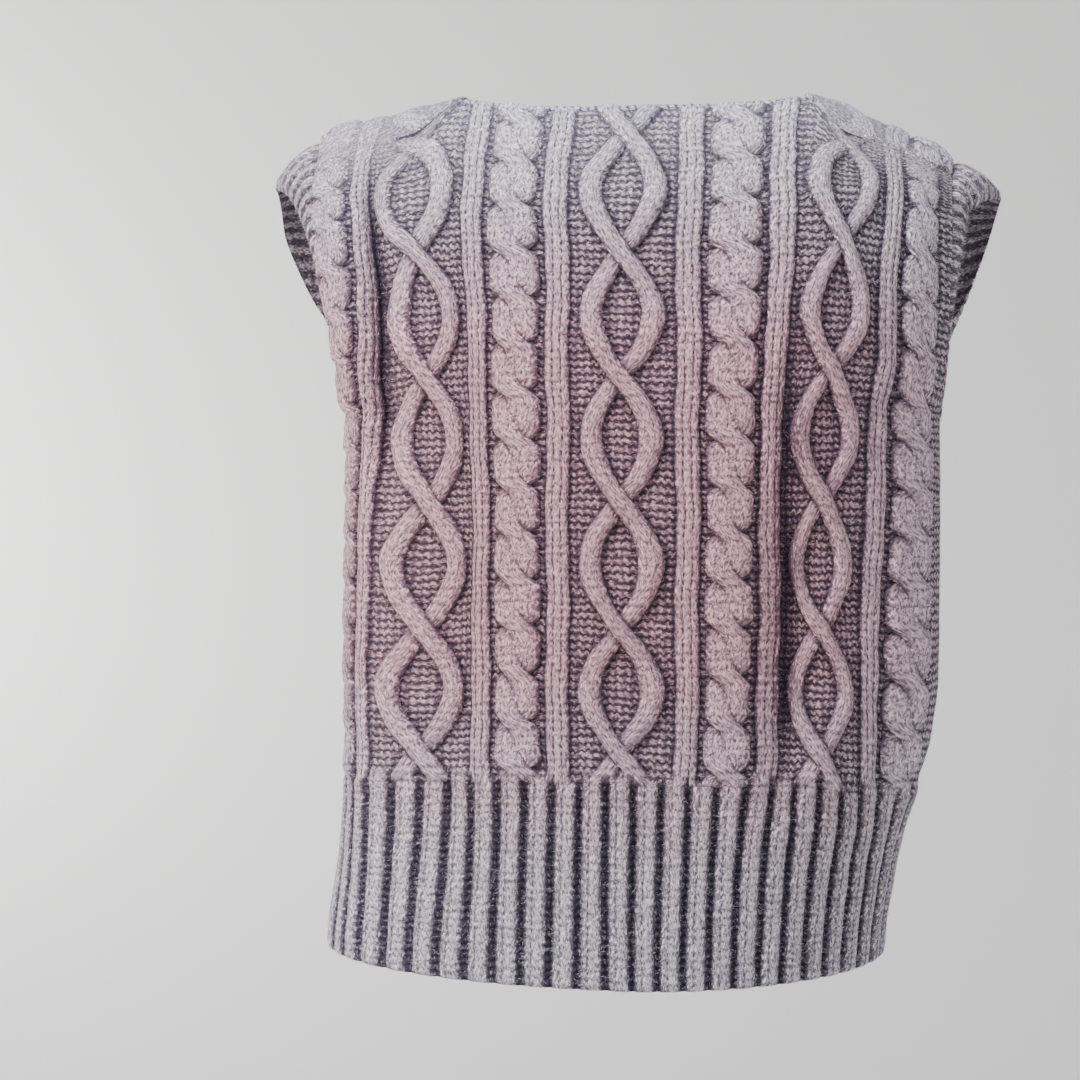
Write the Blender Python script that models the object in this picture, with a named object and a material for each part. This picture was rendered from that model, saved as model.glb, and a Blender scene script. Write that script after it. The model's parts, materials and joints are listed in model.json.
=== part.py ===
"""Sleeveless drop-shoulder sweater vest in chunky cable knit, in the hollow form it keeps when worn.

Metres, +Z up. The wearer faces -Y, so the back is on the +Y side and the wearer's left is +X.
The origin lies midway between the two neck points, where the shoulders carry the vest.

Every wall is a sheet of knitting: a plain inside, and an outside raised into cables and ribs. A panel is
laid out in knitted measures, "out" from its centre line and "row" down from the neck points, and a few
named tables say where those measures lie on the worn form.
"""

from bisect import bisect_right
from collections import namedtuple
from math import acos, cos, hypot, pi, radians, sin, sqrt

import bmesh
import bpy
from mathutils import Vector

# ---- the knitting ----
ROW_HEIGHT = 0.00503           # one knitted row
GRID_ROW = 2 * ROW_HEIGHT      # rows are modelled two at a time
NECK_LEVEL = 0.0265            # back panel's top edge at the centre, below the neck points
PANEL_STEPS = 44               # modelled rows from there to the hem rib
RIB_LEVEL = NECK_LEVEL + PANEL_STEPS * GRID_ROW
HEM_LEVEL = 0.601              # lower edge of the vest
PANEL_HALF = 0.262             # knitted half width of a panel at the side seam
HEM_DRAWN = 0.005              # its rise at the wearer's right seam
SEAM_GAP = 0.0004              # between two pieces

GROUND = 0.0030                # wall thickness of the purl ground
RIB_RISE = 0.0026              # a column of knit wales above the ground
STRAND_RISE = 0.0052           # a cable strand above the ground
ROPE_RISE = 0.0050             # a rope's lobes above the ground
ROPE_DIP = 0.0022              # the dips between lobes, below their tops
OVER_RISE = 0.0012             # the strand that passes over at a crossing
SHOULDER_SHARE = 0.4           # share of these rises left where the front lies over the shoulder

TWIST_PERIOD = 8 * GRID_ROW    # open twist: from crossing to crossing
TWIST_FIRST = NECK_LEVEL + 2 * GRID_ROW
TWIST_REACH = 0.0208           # strand's centre line out from the twist's middle, at the widest
STRAND_HALF = 0.0082           # half a strand's width
STRAND_MEET = 0.003            # the strands' crests never come nearer the middle than this
ROPE_PERIOD = 3 * GRID_ROW
ROPE_FIRST = NECK_LEVEL + GRID_ROW

TWIST_OUT = 0.141              # middle of the outer open twists
NECK_CORNER = TWIST_OUT - 0.0146   # where neck edge and shoulder seam meet
NECK_TRACK = 16                # track that starts at that corner

HEM_RIBS = 14                  # ribs in half a panel's width
HEM_GROOVE = 0.0022            # wall thickness in a groove
HEM_CREST = 0.0066             # and on a rib
BAND_GROOVE = 0.0026
BAND_CREST = 0.0048
EDGE_HEIGHT = 0.0055           # neck edge, upwards
EDGE_THICK = 0.0046            # and through

# ---- the worn form ----
SHOULDER_ROUND = 0.12          # height over which back and front round over the shoulder ridge
UNDERARM = NECK_LEVEL + 20 * GRID_ROW   # level where the armhole seam reaches the side seam

# A horizontal section of the inside face at each level below the neck points. left, right: how far out the
# side or armhole seam lies. back, front: depth at the centre. seam_back, seam_front: depth of the seam.
# turn: degrees through which half a section bends. edge: knitted distance from the centre to the seam.
Section = namedtuple("Section", "level left right back front seam_back seam_front turn edge")
SECTIONS = [
    Section(0.000, 0.224, 0.215, 0.088, 0.092, 0.056, 0.060, 60, 0.226),
    Section(0.060, 0.222, 0.213, 0.096, 0.100, 0.056, 0.062, 62, 0.226),
    Section(0.110, 0.216, 0.211, 0.106, 0.112, 0.053, 0.061, 66, 0.227),
    Section(0.160, 0.210, 0.209, 0.112, 0.122, 0.043, 0.050, 74, 0.230),
    Section(0.195, 0.206, 0.207, 0.116, 0.128, 0.032, 0.037, 80, 0.235),
    Section(0.214, 0.205, 0.206, 0.117, 0.130, 0.020, 0.024, 84, 0.245),
    Section(UNDERARM, 0.204, 0.205, 0.118, 0.131, 0.000, 0.000, 90, 0.262),
    Section(0.300, 0.203, 0.205, 0.119, 0.130, 0.000, 0.000, 90, 0.262),
    Section(0.400, 0.204, 0.204, 0.119, 0.126, 0.000, 0.000, 90, 0.262),
    Section(0.450, 0.203, 0.198, 0.119, 0.124, 0.000, 0.000, 90, 0.262),
    Section(0.490, 0.204, 0.184, 0.119, 0.123, 0.000, 0.000, 90, 0.262),
    Section(0.530, 0.207, 0.173, 0.119, 0.122, 0.000, 0.000, 90, 0.262),
    Section(0.601, 0.216, 0.164, 0.118, 0.122, 0.000, 0.000, 90, 0.262),
]

# Height of the shoulder ridge at a distance out from the centre, on the wearer's left and right.
Ridge = namedtuple("Ridge", "out left right")
RIDGES = [
    Ridge(0.000, 0.003, 0.003),
    Ridge(0.125, -0.002, -0.009),
    Ridge(0.145, -0.005, -0.018),
    Ridge(0.165, -0.010, -0.027),
    Ridge(0.200, -0.017, -0.048),
    Ridge(0.235, -0.036, -0.074),
    Ridge(0.260, -0.056, -0.098),
]

# Top edge of the back panel: the neck curve, then the shoulder seam, which lies behind the ridge.
BackTop = namedtuple("BackTop", "out left right")
BACK_TOP = [
    BackTop(0.000, -0.0265, -0.0265),
    BackTop(0.060, -0.0235, -0.0265),
    BackTop(0.098, -0.0170, -0.0225),
    BackTop(0.118, -0.0112, -0.0182),
    BackTop(NECK_CORNER, -0.0107, -0.0178),
    BackTop(0.138, -0.0235, -0.0320),
    BackTop(0.150, -0.0330, -0.0415),
    BackTop(0.185, -0.0395, -0.0520),
    BackTop(0.226, -0.0490, -0.0680),
    BackTop(0.262, -0.0540, -0.0740),
]

# Front neckline: how far it lies from the ridge, measured down the front, and out from the centre.
Neckline = namedtuple("Neckline", "out down")
NECKLINE = [
    Neckline(0.000, 0.146),
    Neckline(0.035, 0.142),
    Neckline(0.070, 0.129),
    Neckline(0.095, 0.112),
    Neckline(0.112, 0.092),
    Neckline(0.118, 0.080),
]
NECK_FOOT = NECKLINE[-1]
# Its upright stretch, from the corner at the shoulder seam over the ridge to there.
Upright = namedtuple("Upright", "down out")
NECK_UPRIGHT = [
    Upright(-0.060, NECK_CORNER),
    Upright(0.010, 0.1255),
    Upright(0.050, 0.1230),
    Upright(NECK_FOOT.down, NECK_FOOT.out),
]
TRACK_MARGIN = 0.0022          # tracks beside the neckline stay this far apart
SHOULDER_STEPS = 9             # modelled rows of the front between the shoulder seam and the neckline
CHEST_STEPS = 14               # and from there to the underarm
FRONT_STEPS = SHOULDER_STEPS + CHEST_STEPS + PANEL_STEPS - 20

# How rows ride up beside the neck, and sag at the sides above the hem rib.
RowRide = namedtuple("RowRide", "out lift sag")
ROW_RIDES = [
    RowRide(0.000, 0.000, 0.000),
    RowRide(0.070, 0.003, 0.000),
    RowRide(0.141, 0.009, 0.004),
    RowRide(0.185, 0.004, 0.008),
    RowRide(0.262, -0.010, 0.014),
]

# Armhole band's free edge, at turns round the opening: 0 underarm, 90 back, 180 shoulder tip, 270 front.
BandEdge = namedtuple("BandEdge", "turn left right depth high_left high_right")
BAND_EDGES = [
    BandEdge(0, 0.200, 0.203, 0.000, -0.192, -0.190),
    BandEdge(45, 0.203, 0.204, 0.021, -0.176, -0.176),
    BandEdge(90, 0.213, 0.211, 0.029, -0.130, -0.134),
    BandEdge(135, 0.233, 0.220, 0.027, -0.085, -0.097),
    BandEdge(165, 0.253, 0.239, 0.014, -0.063, -0.082),
    BandEdge(195, 0.265, 0.249, -0.009, -0.058, -0.079),
    BandEdge(235, 0.266, 0.244, -0.031, -0.083, -0.099),
    BandEdge(270, 0.249, 0.228, -0.041, -0.129, -0.142),
    BandEdge(315, 0.211, 0.207, -0.027, -0.177, -0.177),
    BandEdge(360, 0.200, 0.203, 0.000, -0.192, -0.190),
]
BACK_TURN = 150                # turn at which the shoulder seam meets the band
BAND_BELLY = 0.005             # the band bows out by this half way across, at the shoulder tip

# Soft folds of the cloth: where they run, how wide and how deep they are. Positive depth goes inwards.
Fold = namedtuple("Fold", "face out start end width depth")
BACK, FRONT = 1, -1
FOLDS = [
    Fold(BACK, 0.169, 0.08, 0.27, 0.022, 0.0032),
    Fold(BACK, -0.112, 0.27, 0.46, 0.022, 0.0030),
    Fold(BACK, 0.088, 0.10, 0.36, 0.026, 0.0018),
    Fold(BACK, -0.052, 0.06, 0.24, 0.028, 0.0016),
    Fold(BACK, -0.172, 0.34, 0.50, 0.026, 0.0030),
    Fold(BACK, 0.205, 0.30, 0.50, 0.026, 0.0030),
    Fold(FRONT, 0.166, 0.15, 0.34, 0.024, 0.0032),
    Fold(FRONT, -0.158, 0.12, 0.29, 0.025, 0.0030),
    Fold(FRONT, 0.060, 0.24, 0.48, 0.028, 0.0024),
    Fold(FRONT, -0.098, 0.28, 0.50, 0.025, 0.0030),
    Fold(FRONT, -0.205, 0.32, 0.54, 0.026, 0.0028),
]

YARN = (0.392, 0.314, 0.342)
YARN_ROUGHNESS = 0.92


# ---- reading the tables ----

def read(rows, key, column):
    """A table's column at a key, on a smooth curve that doesn't swing past the rows."""
    keys = [row[0] for row in rows]
    values = [getattr(row, column) for row in rows]
    if key <= keys[0]:
        return values[0]
    if key >= keys[-1]:
        return values[-1]
    i = bisect_right(keys, key) - 1

    def rate(j):
        return (values[j + 1] - values[j]) / (keys[j + 1] - keys[j])

    def slope(j):
        if j == 0 or j == len(rows) - 1:
            return 0.0
        before, after = rate(j - 1), rate(j)
        return 0.0 if before * after <= 0 else 2 * before * after / (before + after)

    span = keys[i + 1] - keys[i]
    t = (key - keys[i]) / span
    rise = t * t * (3 - 2 * t)
    return (
        values[i] * (1 - rise)
        + values[i + 1] * rise
        + span * (t - 1) * t * ((t - 1) * slope(i) + t * slope(i + 1))
    )


def ease(t):
    """0 to 1, soft at both ends."""
    t = min(max(t, 0.0), 1.0)
    return t * t * (3 - 2 * t)


def mix(a, b, t):
    return a + (b - a) * t


# ---- the worn form of a panel's inside face ----

section_store = {}


def half_section(level, side, face):
    """Points of half a section, centre line to seam, and the length run at each."""
    key = (round(level, 5), side, face)
    if key not in section_store:
        reach = read(SECTIONS, level, "left" if side > 0 else "right")
        depth = read(SECTIONS, level, "back" if face == BACK else "front")
        seam = read(SECTIONS, level, "seam_back" if face == BACK else "seam_front")
        turn = radians(read(SECTIONS, level, "turn"))
        steps = 60
        points, run = [], [0.0]
        for i in range(steps + 1):
            angle = turn * i / steps
            inward = (cos(angle) - cos(turn)) / (1 - cos(turn))
            points.append((reach * sin(angle) / sin(turn), face * mix(seam, depth, inward)))
            if i:
                run.append(run[-1] + hypot(points[-1][0] - points[-2][0], points[-1][1] - points[-2][1]))
        section_store[key] = (points, run)
    return section_store[key]


def on_section(level, out, face):
    """Where a knitted distance out from the centre lies on the section at a level."""
    side = 1 if out >= 0 else -1
    points, run = half_section(max(level, 0.0), side, face)
    share = min(abs(out) / read(SECTIONS, level, "edge"), 1.0)
    target = share * run[-1]
    i = min(max(bisect_right(run, target) - 1, 0), len(points) - 2)
    t = (target - run[i]) / (run[i + 1] - run[i])
    return side * mix(points[i][0], points[i + 1][0], t), mix(points[i][1], points[i + 1][1], t)


def ridge_height(x):
    return read(RIDGES, abs(x), "left" if x > 0 else "right")


def back_top(out):
    return read(BACK_TOP, abs(out), "left" if out > 0 else "right")


def row_height(out, row):
    """Height of a knitted row, away from the top edges."""
    lift = read(ROW_RIDES, abs(out), "lift") * (1 - ease((row - NECK_LEVEL) / 0.33))
    sag = read(ROW_RIDES, abs(out), "sag") * ease((row - 0.3) / (RIB_LEVEL - 0.3))
    if row > RIB_LEVEL:
        sag *= (HEM_LEVEL - row) / (HEM_LEVEL - RIB_LEVEL)
    drawn = HEM_DRAWN * ease(-out / PANEL_HALF) * ease((row - RIB_LEVEL) / (HEM_LEVEL - RIB_LEVEL))
    return -row + lift - sag + drawn


def fold_depth(face, out, row):
    depth = 0.0
    for fold in FOLDS:
        across = abs(out - fold.out) / fold.width
        if fold.face == face and across < 2 and fold.start < row < fold.end:
            along = sin(pi * (row - fold.start) / (fold.end - fold.start))
            depth += fold.depth * along * (0.5 + 0.5 * cos(pi * across / 2))
    return depth


def shoulder_angle(x, height):
    """How far a height below the ridge has turned down over the shoulder: 0 on the ridge, pi/2 below it."""
    return acos(min(max(1 - (ridge_height(x) - height) / SHOULDER_ROUND, 0.0), 1.0))


def at_height(face, out, row, height):
    x, y = on_section(-height, out, face)
    y *= sin(shoulder_angle(x, height))
    return Vector((x, y - face * fold_depth(face, out, row), height))


def back_point(out, row):
    """The back panel's inside face."""
    knee = 0.09
    if row >= knee:
        return at_height(BACK, out, row, row_height(out, row))
    share = (row - NECK_LEVEL) / (knee - NECK_LEVEL)
    return at_height(BACK, out, row, mix(back_top(out), row_height(out, knee), share))


def round_length(out):
    """Length of cloth from the ridge down to where the front hangs straight."""
    depth = abs(on_section(SHOULDER_ROUND, out, FRONT)[1])
    return pi / 2 * sqrt((SHOULDER_ROUND ** 2 + depth ** 2) / 2)


def over_ridge(out, down):
    """A point of the shoulder or chest, so much cloth down from the ridge: below 0 it lies on the back."""
    face = FRONT if down > 0 else BACK
    length = round_length(out)
    angle = min(abs(down) / length, 1.0) * pi / 2
    below = max(abs(down) - length, 0.0)
    x = on_section(0.03, out, face)[0]
    for _ in range(3):
        height = ridge_height(x) - SHOULDER_ROUND * (1 - cos(angle)) - below
        x, y = on_section(-height, out, face)
    return Vector((x, y * sin(angle), height))


def seam_down(out):
    """How far behind the ridge the shoulder seam lies, as cloth down from the ridge."""
    seam = back_point(out, NECK_LEVEL)
    return -round_length(out) * shoulder_angle(seam.x, seam.z) / (pi / 2)


def underarm_down(out):
    """Cloth down from the ridge to the underarm's row."""
    return round_length(out) + ridge_height(on_section(0.03, out, FRONT)[0]) - SHOULDER_ROUND + UNDERARM


def front_point(out, row):
    """The front panel's inside face. Rows above the underarm are counted up along the cloth."""
    if row >= UNDERARM:
        return at_height(FRONT, out, row, row_height(out, row))
    down = underarm_down(out) - (UNDERARM - row)
    point = over_ridge(out, down)
    joined = at_height(FRONT, out, row, row_height(out, row))
    share = ease((row - 0.14) / (UNDERARM - 0.14))
    point = point.lerp(joined, share)
    point.y += fold_depth(FRONT, out, row) * (1 - share)
    return point


def front_row(out, down):
    return UNDERARM - underarm_down(out) + down


# ---- the cable pattern ----

Track = namedtuple("Track", "kind out side")
# Fixed tracks on which the relief of half a panel turns, out from the centre.
FIXED_TRACKS = [
    Track("ground", 0.0355, 0), Track("rib", 0.0395, 0), Track("rib", 0.0475, 0),
    Track("ground", 0.0550, 0),
    Track("rope", 0.0625, 1), Track("rope", 0.0720, 0), Track("rope", 0.0815, -1),
    Track("ground", 0.0885, 0), Track("rib", 0.0935, 0), Track("rib", 0.1015, 0),
    Track("ground", 0.1070, 0),
    Track("ground", 0.1765, 0), Track("rib", 0.1810, 0), Track("rib", 0.1890, 0),
    Track("ground", 0.1965, 0),
    Track("rope", 0.2035, 1), Track("rope", 0.2130, 0), Track("rope", 0.2200, -1),
    Track("ground", 0.2290, 0), Track("ground", 0.2455, 0),
]
TWIST_SLOT = 11                # the outer twist's tracks come after this many fixed ones


def twist_tracks(middle, parts):
    """Tracks of an open twist: the edges and crests of its strands, which the rows carry in and out."""
    return [Track(part, middle, side) for part, side in parts]


INNER_HALF = [("middle", 0), ("inside", 1), ("crest", 1), ("outside", 1)]
WHOLE = [("outside", -1), ("crest", -1), ("inside", -1)] + INNER_HALF
HALF_TRACKS = (
    twist_tracks(0.0, INNER_HALF)
    + FIXED_TRACKS[:TWIST_SLOT]
    + twist_tracks(TWIST_OUT, WHOLE)
    + FIXED_TRACKS[TWIST_SLOT:]
    + [Track("seam", PANEL_HALF, 0)]
)
LAST = len(HALF_TRACKS) - 1
ROPE_END = max(k for k, track in enumerate(HALF_TRACKS) if track.kind == "rope")


def strand_offset(row):
    """Distance of the two strands of an open twist from its middle."""
    return TWIST_REACH * abs(sin(pi * (row - TWIST_FIRST) / TWIST_PERIOD))


def track_out(k, row):
    """Knitted distance out of a track at a row."""
    track = HALF_TRACKS[k]
    offset = strand_offset(row)
    reach = {
        "inside": max(offset - STRAND_HALF, STRAND_MEET / 3),
        "crest": max(offset, STRAND_MEET),
        "outside": offset + STRAND_HALF,
    }
    return track.out + track.side * reach.get(track.kind, 0.0)


def closed_up(k, row, edge):
    """The same, with the tracks beyond the last rope closed up where the armhole cuts the panel narrower."""
    out = track_out(k, row)
    start = track_out(ROPE_END, row)
    if k < ROPE_END:
        return out
    first = min(start, edge - 0.004)
    return first + (out - start) * (edge - first) / (PANEL_HALF - start)


def relief(k, row, hand):
    """Height of the outside face above the inside. hand is 1 where a track's outer side is the viewer's left."""
    track = HALF_TRACKS[k]
    lead = track.side * hand
    rise = 0.0
    if track.kind == "rib":
        rise = RIB_RISE
    elif track.kind == "rope":
        phase = (row - ROPE_FIRST) / ROPE_PERIOD + 0.3 * lead
        rise = ROPE_RISE - ROPE_DIP * (0.5 - 0.5 * cos(2 * pi * phase))
    elif track.kind == "crest":
        turn = ((row - TWIST_FIRST) / TWIST_PERIOD) % 1.0
        near = max(0.0, 1 - min(turn, 1 - turn) / 0.25)
        over = (turn > 0.5) == (lead > 0)
        rise = STRAND_RISE + (OVER_RISE if over else -OVER_RISE) * near
    elif track.kind in ("middle", "inside"):
        rise = STRAND_RISE * (1 - ease(strand_offset(row) / (1.3 * STRAND_HALF)))
    return GROUND + rise * mix(SHOULDER_SHARE, 1, ease((row + 0.055) / 0.04))


# ---- laying a panel out on its grid ----

COLUMNS = 2 * LAST + 1


def track_of(column):
    """Track and side of a column, counted from the seam at the wearer's right."""
    k = column - LAST
    return abs(k), (1 if k >= 0 else -1)


def edge_at(point, side, row):
    """Knitted width of a panel, from its centre to its armhole or side seam, at a row."""
    out = PANEL_HALF
    for _ in range(5 if row < UNDERARM else 0):
        out = read(SECTIONS, max(-point(side * out, row).z, 0.0), "edge")
    return out


def back_grid():
    """Each column's and step's (out, row) on the back panel."""
    grid = {}
    for column in range(COLUMNS):
        k, side = track_of(column)
        for step in range(PANEL_STEPS + 1):
            row = NECK_LEVEL + step * GRID_ROW
            out = closed_up(k, row, edge_at(back_point, side, row))
            grid[column, step] = (side * out, row)
    return grid


def shoulder_place(k, side, share, row, seam_out):
    """(out, row) on the shoulder, at a share of the way from the shoulder seam to the neckline's foot."""
    floor = read(NECK_UPRIGHT, mix(seam_down(side * NECK_CORNER), NECK_FOOT.down, share), "out")
    out = floor
    if k > NECK_TRACK:
        out = closed_up(k, row, edge_at(front_point, side, row))
        out = max(out, floor + TRACK_MARGIN * (k - NECK_TRACK))
    out = mix(seam_out, out, min(3 * share, 1.0))
    down = mix(seam_down(side * out), read(NECKLINE, out, "down"), share)
    return out, front_row(side * out, down)


def chest_place(k, side, share, row):
    """(out, row) on the chest, at a share of the way from the neckline to the underarm."""
    out = closed_up(k, row, edge_at(front_point, side, row))
    if share == 0:
        limit = NECK_FOOT.out + TRACK_MARGIN * (k - NECK_TRACK)
        out = max(out, limit) if k >= NECK_TRACK else min(out, limit)
    if share == 0 and k == NECK_TRACK:
        out = NECK_FOOT.out
    top = front_row(side * out, read(NECKLINE, out, "down"))
    return out, mix(top, UNDERARM, share)


def front_grid(back):
    """The same for the front, whose columns beside the neck run over the ridge to the back's shoulder seams."""
    grid = {}
    underarm_step = SHOULDER_STEPS + CHEST_STEPS
    for column in range(COLUMNS):
        k, side = track_of(column)
        for step in range(FRONT_STEPS + 1):
            if step < SHOULDER_STEPS and k < NECK_TRACK:
                continue
            row = UNDERARM + (step - underarm_step) * GRID_ROW
            out = closed_up(k, row, PANEL_HALF)
            for _ in range(4 if step < underarm_step else 0):
                if step < SHOULDER_STEPS:
                    out, row = shoulder_place(k, side, step / SHOULDER_STEPS, row, abs(back[column, 0][0]))
                else:
                    out, row = chest_place(k, side, (step - SHOULDER_STEPS) / CHEST_STEPS, row)
            grid[column, step] = (side * out, row)
    return grid


def outward(point, face, out, row):
    """Direction out of the cloth, from short steps along its inside face."""
    step = 0.0015
    across = point(out + step, row) - point(out - step, row)
    down = point(out, row + step) - point(out, row - step)
    return face * across.cross(down).normalized()


# ---- solids ----

def new_piece(name, mesh_maker):
    """A named object of one closed body, in the vest's collection, in the yarn's colour."""
    bm = bmesh.new()
    mesh_maker(bm)
    bmesh.ops.triangulate(bm, faces=bm.faces)
    bmesh.ops.recalc_face_normals(bm, faces=bm.faces)
    mesh = bpy.data.meshes.new(name)
    bm.to_mesh(mesh)
    bm.free()
    mesh.shade_smooth()
    mesh.set_sharp_from_angle(angle=radians(50))
    mesh.materials.append(yarn_material(name))
    piece = bpy.data.objects.new(name, mesh)
    vest.objects.link(piece)
    return piece


def yarn_material(name):
    material = bpy.data.materials.new(f"{name}_yarn")
    material.use_nodes = True
    shader = material.node_tree.nodes["Principled BSDF"]
    shader.inputs["Base Color"].default_value = (*YARN, 1.0)
    shader.inputs["Roughness"].default_value = YARN_ROUGHNESS
    shader.inputs["Metallic"].default_value = 0.0
    return material


def wall(bm, inside, outside, coarse_columns, coarse_steps):
    """A closed wall between two grids of points by (column, step): the outside has every point,
    the inside those on the wall's border and where its coarse columns and steps cross."""
    def cell(column, step, size=1, height=1):
        corners = [(column, step), (column + size, step), (column + size, step + height), (column, step + height)]
        return corners if all(c in outside for c in corners) else None

    outer = {place: bm.verts.new(point) for place, point in outside.items()}
    inner = {}

    def inner_vert(place):
        if place not in inner:
            inner[place] = bm.verts.new(inside[place])
        return inner[place]

    for column, step in outside:
        corners = cell(column, step)
        if not corners:
            continue
        bm.faces.new([outer[c] for c in corners])
        beyond = [(column, step - 1), (column + 1, step), (column, step + 1), (column - 1, step)]
        for side, neighbour in enumerate(beyond):
            if not cell(*neighbour):
                a, b = corners[side], corners[(side + 1) % 4]
                bm.faces.new([outer[b], outer[a], inner_vert(a), inner_vert(b)])

    for left, right in zip(coarse_columns, coarse_columns[1:]):
        for top, bottom in zip(coarse_steps, coarse_steps[1:]):
            if not cell(left, top, right - left, bottom - top):
                continue
            ring = []
            for c in range(left, right):
                if c == left or not cell(c, top - 1):
                    ring.append((c, top))
            for s in range(top, bottom):
                if s == top or not cell(right, s):
                    ring.append((right, s))
            for c in range(right, left, -1):
                if c == right or not cell(c - 1, bottom):
                    ring.append((c, bottom))
            for s in range(bottom, top, -1):
                if s == bottom or not cell(left - 1, s - 1):
                    ring.append((left, s))
            bm.faces.new([inner_vert(place) for place in reversed(ring)])


def nudged(place, out, row, grid):
    """A border point moved back from the seam by half the gap between pieces."""
    column, step = place
    half_gap = SEAM_GAP / 2
    if (column, step - 1) not in grid:
        row += half_gap
    if (column, step + 1) not in grid:
        row -= half_gap
    if (column - 1, step) not in grid:
        out += half_gap
    if (column + 1, step) not in grid:
        out -= half_gap
    return out, row


def panel_faces(point, face, grid, height):
    """Inside and outside points of a panel, from its grid and its relief."""
    inside, outside = {}, {}
    for place, (out, row) in grid.items():
        out, row = nudged(place, out, row, grid)
        inside[place] = point(out, row)
        outside[place] = inside[place] + outward(point, face, out, row) * height(place, row)
    return inside, outside


def cable_height(face):
    def height(place, row):
        k, side = track_of(place[0])
        return relief(k, row, side * face)
    return height


COARSE_TRACKS = [0, 4, 7, 11, 14, NECK_TRACK, 18, 22, 25, 27, 29, 30, LAST]
COARSE_COLUMNS = sorted({LAST + s * k for k in COARSE_TRACKS for s in (-1, 1)})
BACK_COARSE = [0, 3, 6, 9, 12, 16, 20, 24, 29, 34, 39, PANEL_STEPS]


def make_back_panel():
    grid = back_grid()
    inside, outside = panel_faces(back_point, BACK, grid, cable_height(BACK))
    new_piece("back_panel", lambda bm: wall(bm, inside, outside, COARSE_COLUMNS, BACK_COARSE))
    return grid


def make_front_panel(back):
    grid = front_grid(back)
    inside, outside = panel_faces(front_point, FRONT, grid, cable_height(FRONT))
    underarm = SHOULDER_STEPS + CHEST_STEPS
    coarse = [0, 2, 4, 6, SHOULDER_STEPS, SHOULDER_STEPS + 5, SHOULDER_STEPS + 10, underarm]
    coarse += [underarm + step for step in (4, 9, 14, 19)] + [FRONT_STEPS]
    new_piece("front_panel", lambda bm: wall(bm, inside, outside, COARSE_COLUMNS, coarse))
    return grid


def make_hem_rib(name, point, face):
    """Deep ribs below a panel. A rib lies on the centre line, and half a rib at each side seam."""
    pitch = PANEL_HALF / HEM_RIBS
    columns = [(-PANEL_HALF, HEM_CREST)]
    for rib in range(-HEM_RIBS, HEM_RIBS):
        columns += [
            ((rib + 0.26) * pitch, HEM_CREST),
            ((rib + 0.50) * pitch, HEM_GROOVE),
            ((rib + 0.74) * pitch, HEM_CREST),
        ]
    columns.append((PANEL_HALF, HEM_CREST))
    rows = [RIB_LEVEL, 0.515, HEM_LEVEL]
    grid = {(c, s): (out, row) for c, (out, _) in enumerate(columns) for s, row in enumerate(rows)}
    inside, outside = panel_faces(point, face, grid, lambda place, row: columns[place[0]][1])
    coarse = sorted({*range(1, len(columns) - 1, 6), 0, len(columns) - 1})
    new_piece(name, lambda bm: wall(bm, inside, outside, coarse, list(range(len(rows)))))


def armhole_seam(side, back, front):
    """Points, outward directions and turns of the seam round one armhole, from the underarm up the back,
    over the shoulder and down the front."""
    column = LAST + side * LAST
    up_back = [(back_point, BACK, back[column, step]) for step in range(20, 0, -1)]
    down_front = [(front_point, FRONT, front[column, step]) for step in range(SHOULDER_STEPS + CHEST_STEPS)]
    seam = []
    for point, face, (out, row) in up_back + down_front:
        seam.append((point(out, row), outward(point, face, out, row)))
    turns = []
    for part, start, end in ((seam[:21], 0, BACK_TURN), (seam[20:] + seam[:1], BACK_TURN, 360)):
        run = [0.0]
        for (a, _), (b, _) in zip(part, part[1:]):
            run.append(run[-1] + (b - a).length)
        turns += [mix(start, end, length / run[-1]) for length in run[:-1]]
    return [(point, normal, turn) for (point, normal), turn in zip(seam, turns)]


def make_armhole_band(name, side, back, front):
    """A ribbed strip from the armhole seam to its free edge, each rib square to the edge."""
    seam = armhole_seam(side, back, front)
    around = []
    for i, (point, normal, turn) in enumerate(seam):
        after_point, after_normal, after_turn = seam[(i + 1) % len(seam)]
        after_turn = after_turn or 360
        around.append((point, normal, turn))
        middle = (point + after_point) / 2, (normal + after_normal).normalized(), (turn + after_turn) / 2
        around.append(middle)

    side_column, high_column = ("left", "high_left") if side > 0 else ("right", "high_right")
    inside, outside = {}, {}
    free = [
        Vector((side * read(BAND_EDGES, t, side_column), read(BAND_EDGES, t, "depth"), read(BAND_EDGES, t, high_column)))
        for _, _, t in around
    ]
    count = len(around)
    for i, (start, seam_normal, turn) in enumerate(around):
        end = free[i]
        along = (around[(i + 1) % count][0] - around[i - 1][0]) + (free[(i + 1) % count] - free[i - 1])
        normal = side * (end - start).cross(along).normalized()
        if normal.dot(seam_normal) < 0:
            normal.negate()
        thick = BAND_CREST if i % 2 else BAND_GROOVE
        belly = BAND_BELLY * sin(radians(turn / 2)) ** 2
        start = start + (end - start).normalized() * SEAM_GAP
        inside[i, 0] = start
        inside[i, 1] = (start + end) / 2 + normal * belly
        inside[i, 2] = end
        outside[i, 0] = start + seam_normal * thick
        outside[i, 1] = inside[i, 1] + normal * thick
        outside[i, 2] = end + normal * thick

    def tube(bm):
        verts = {}
        for i in range(count):
            profile = [inside[i, 0], outside[i, 0], outside[i, 1], outside[i, 2], inside[i, 2], inside[i, 1]]
            verts[i] = [bm.verts.new(p) for p in profile]
        for i in range(count):
            this, following = verts[i], verts[(i + 1) % count]
            for j in range(len(this)):
                after = (j + 1) % len(this)
                bm.faces.new([this[j], this[after], following[after], following[j]])

    new_piece(name, tube)


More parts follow.
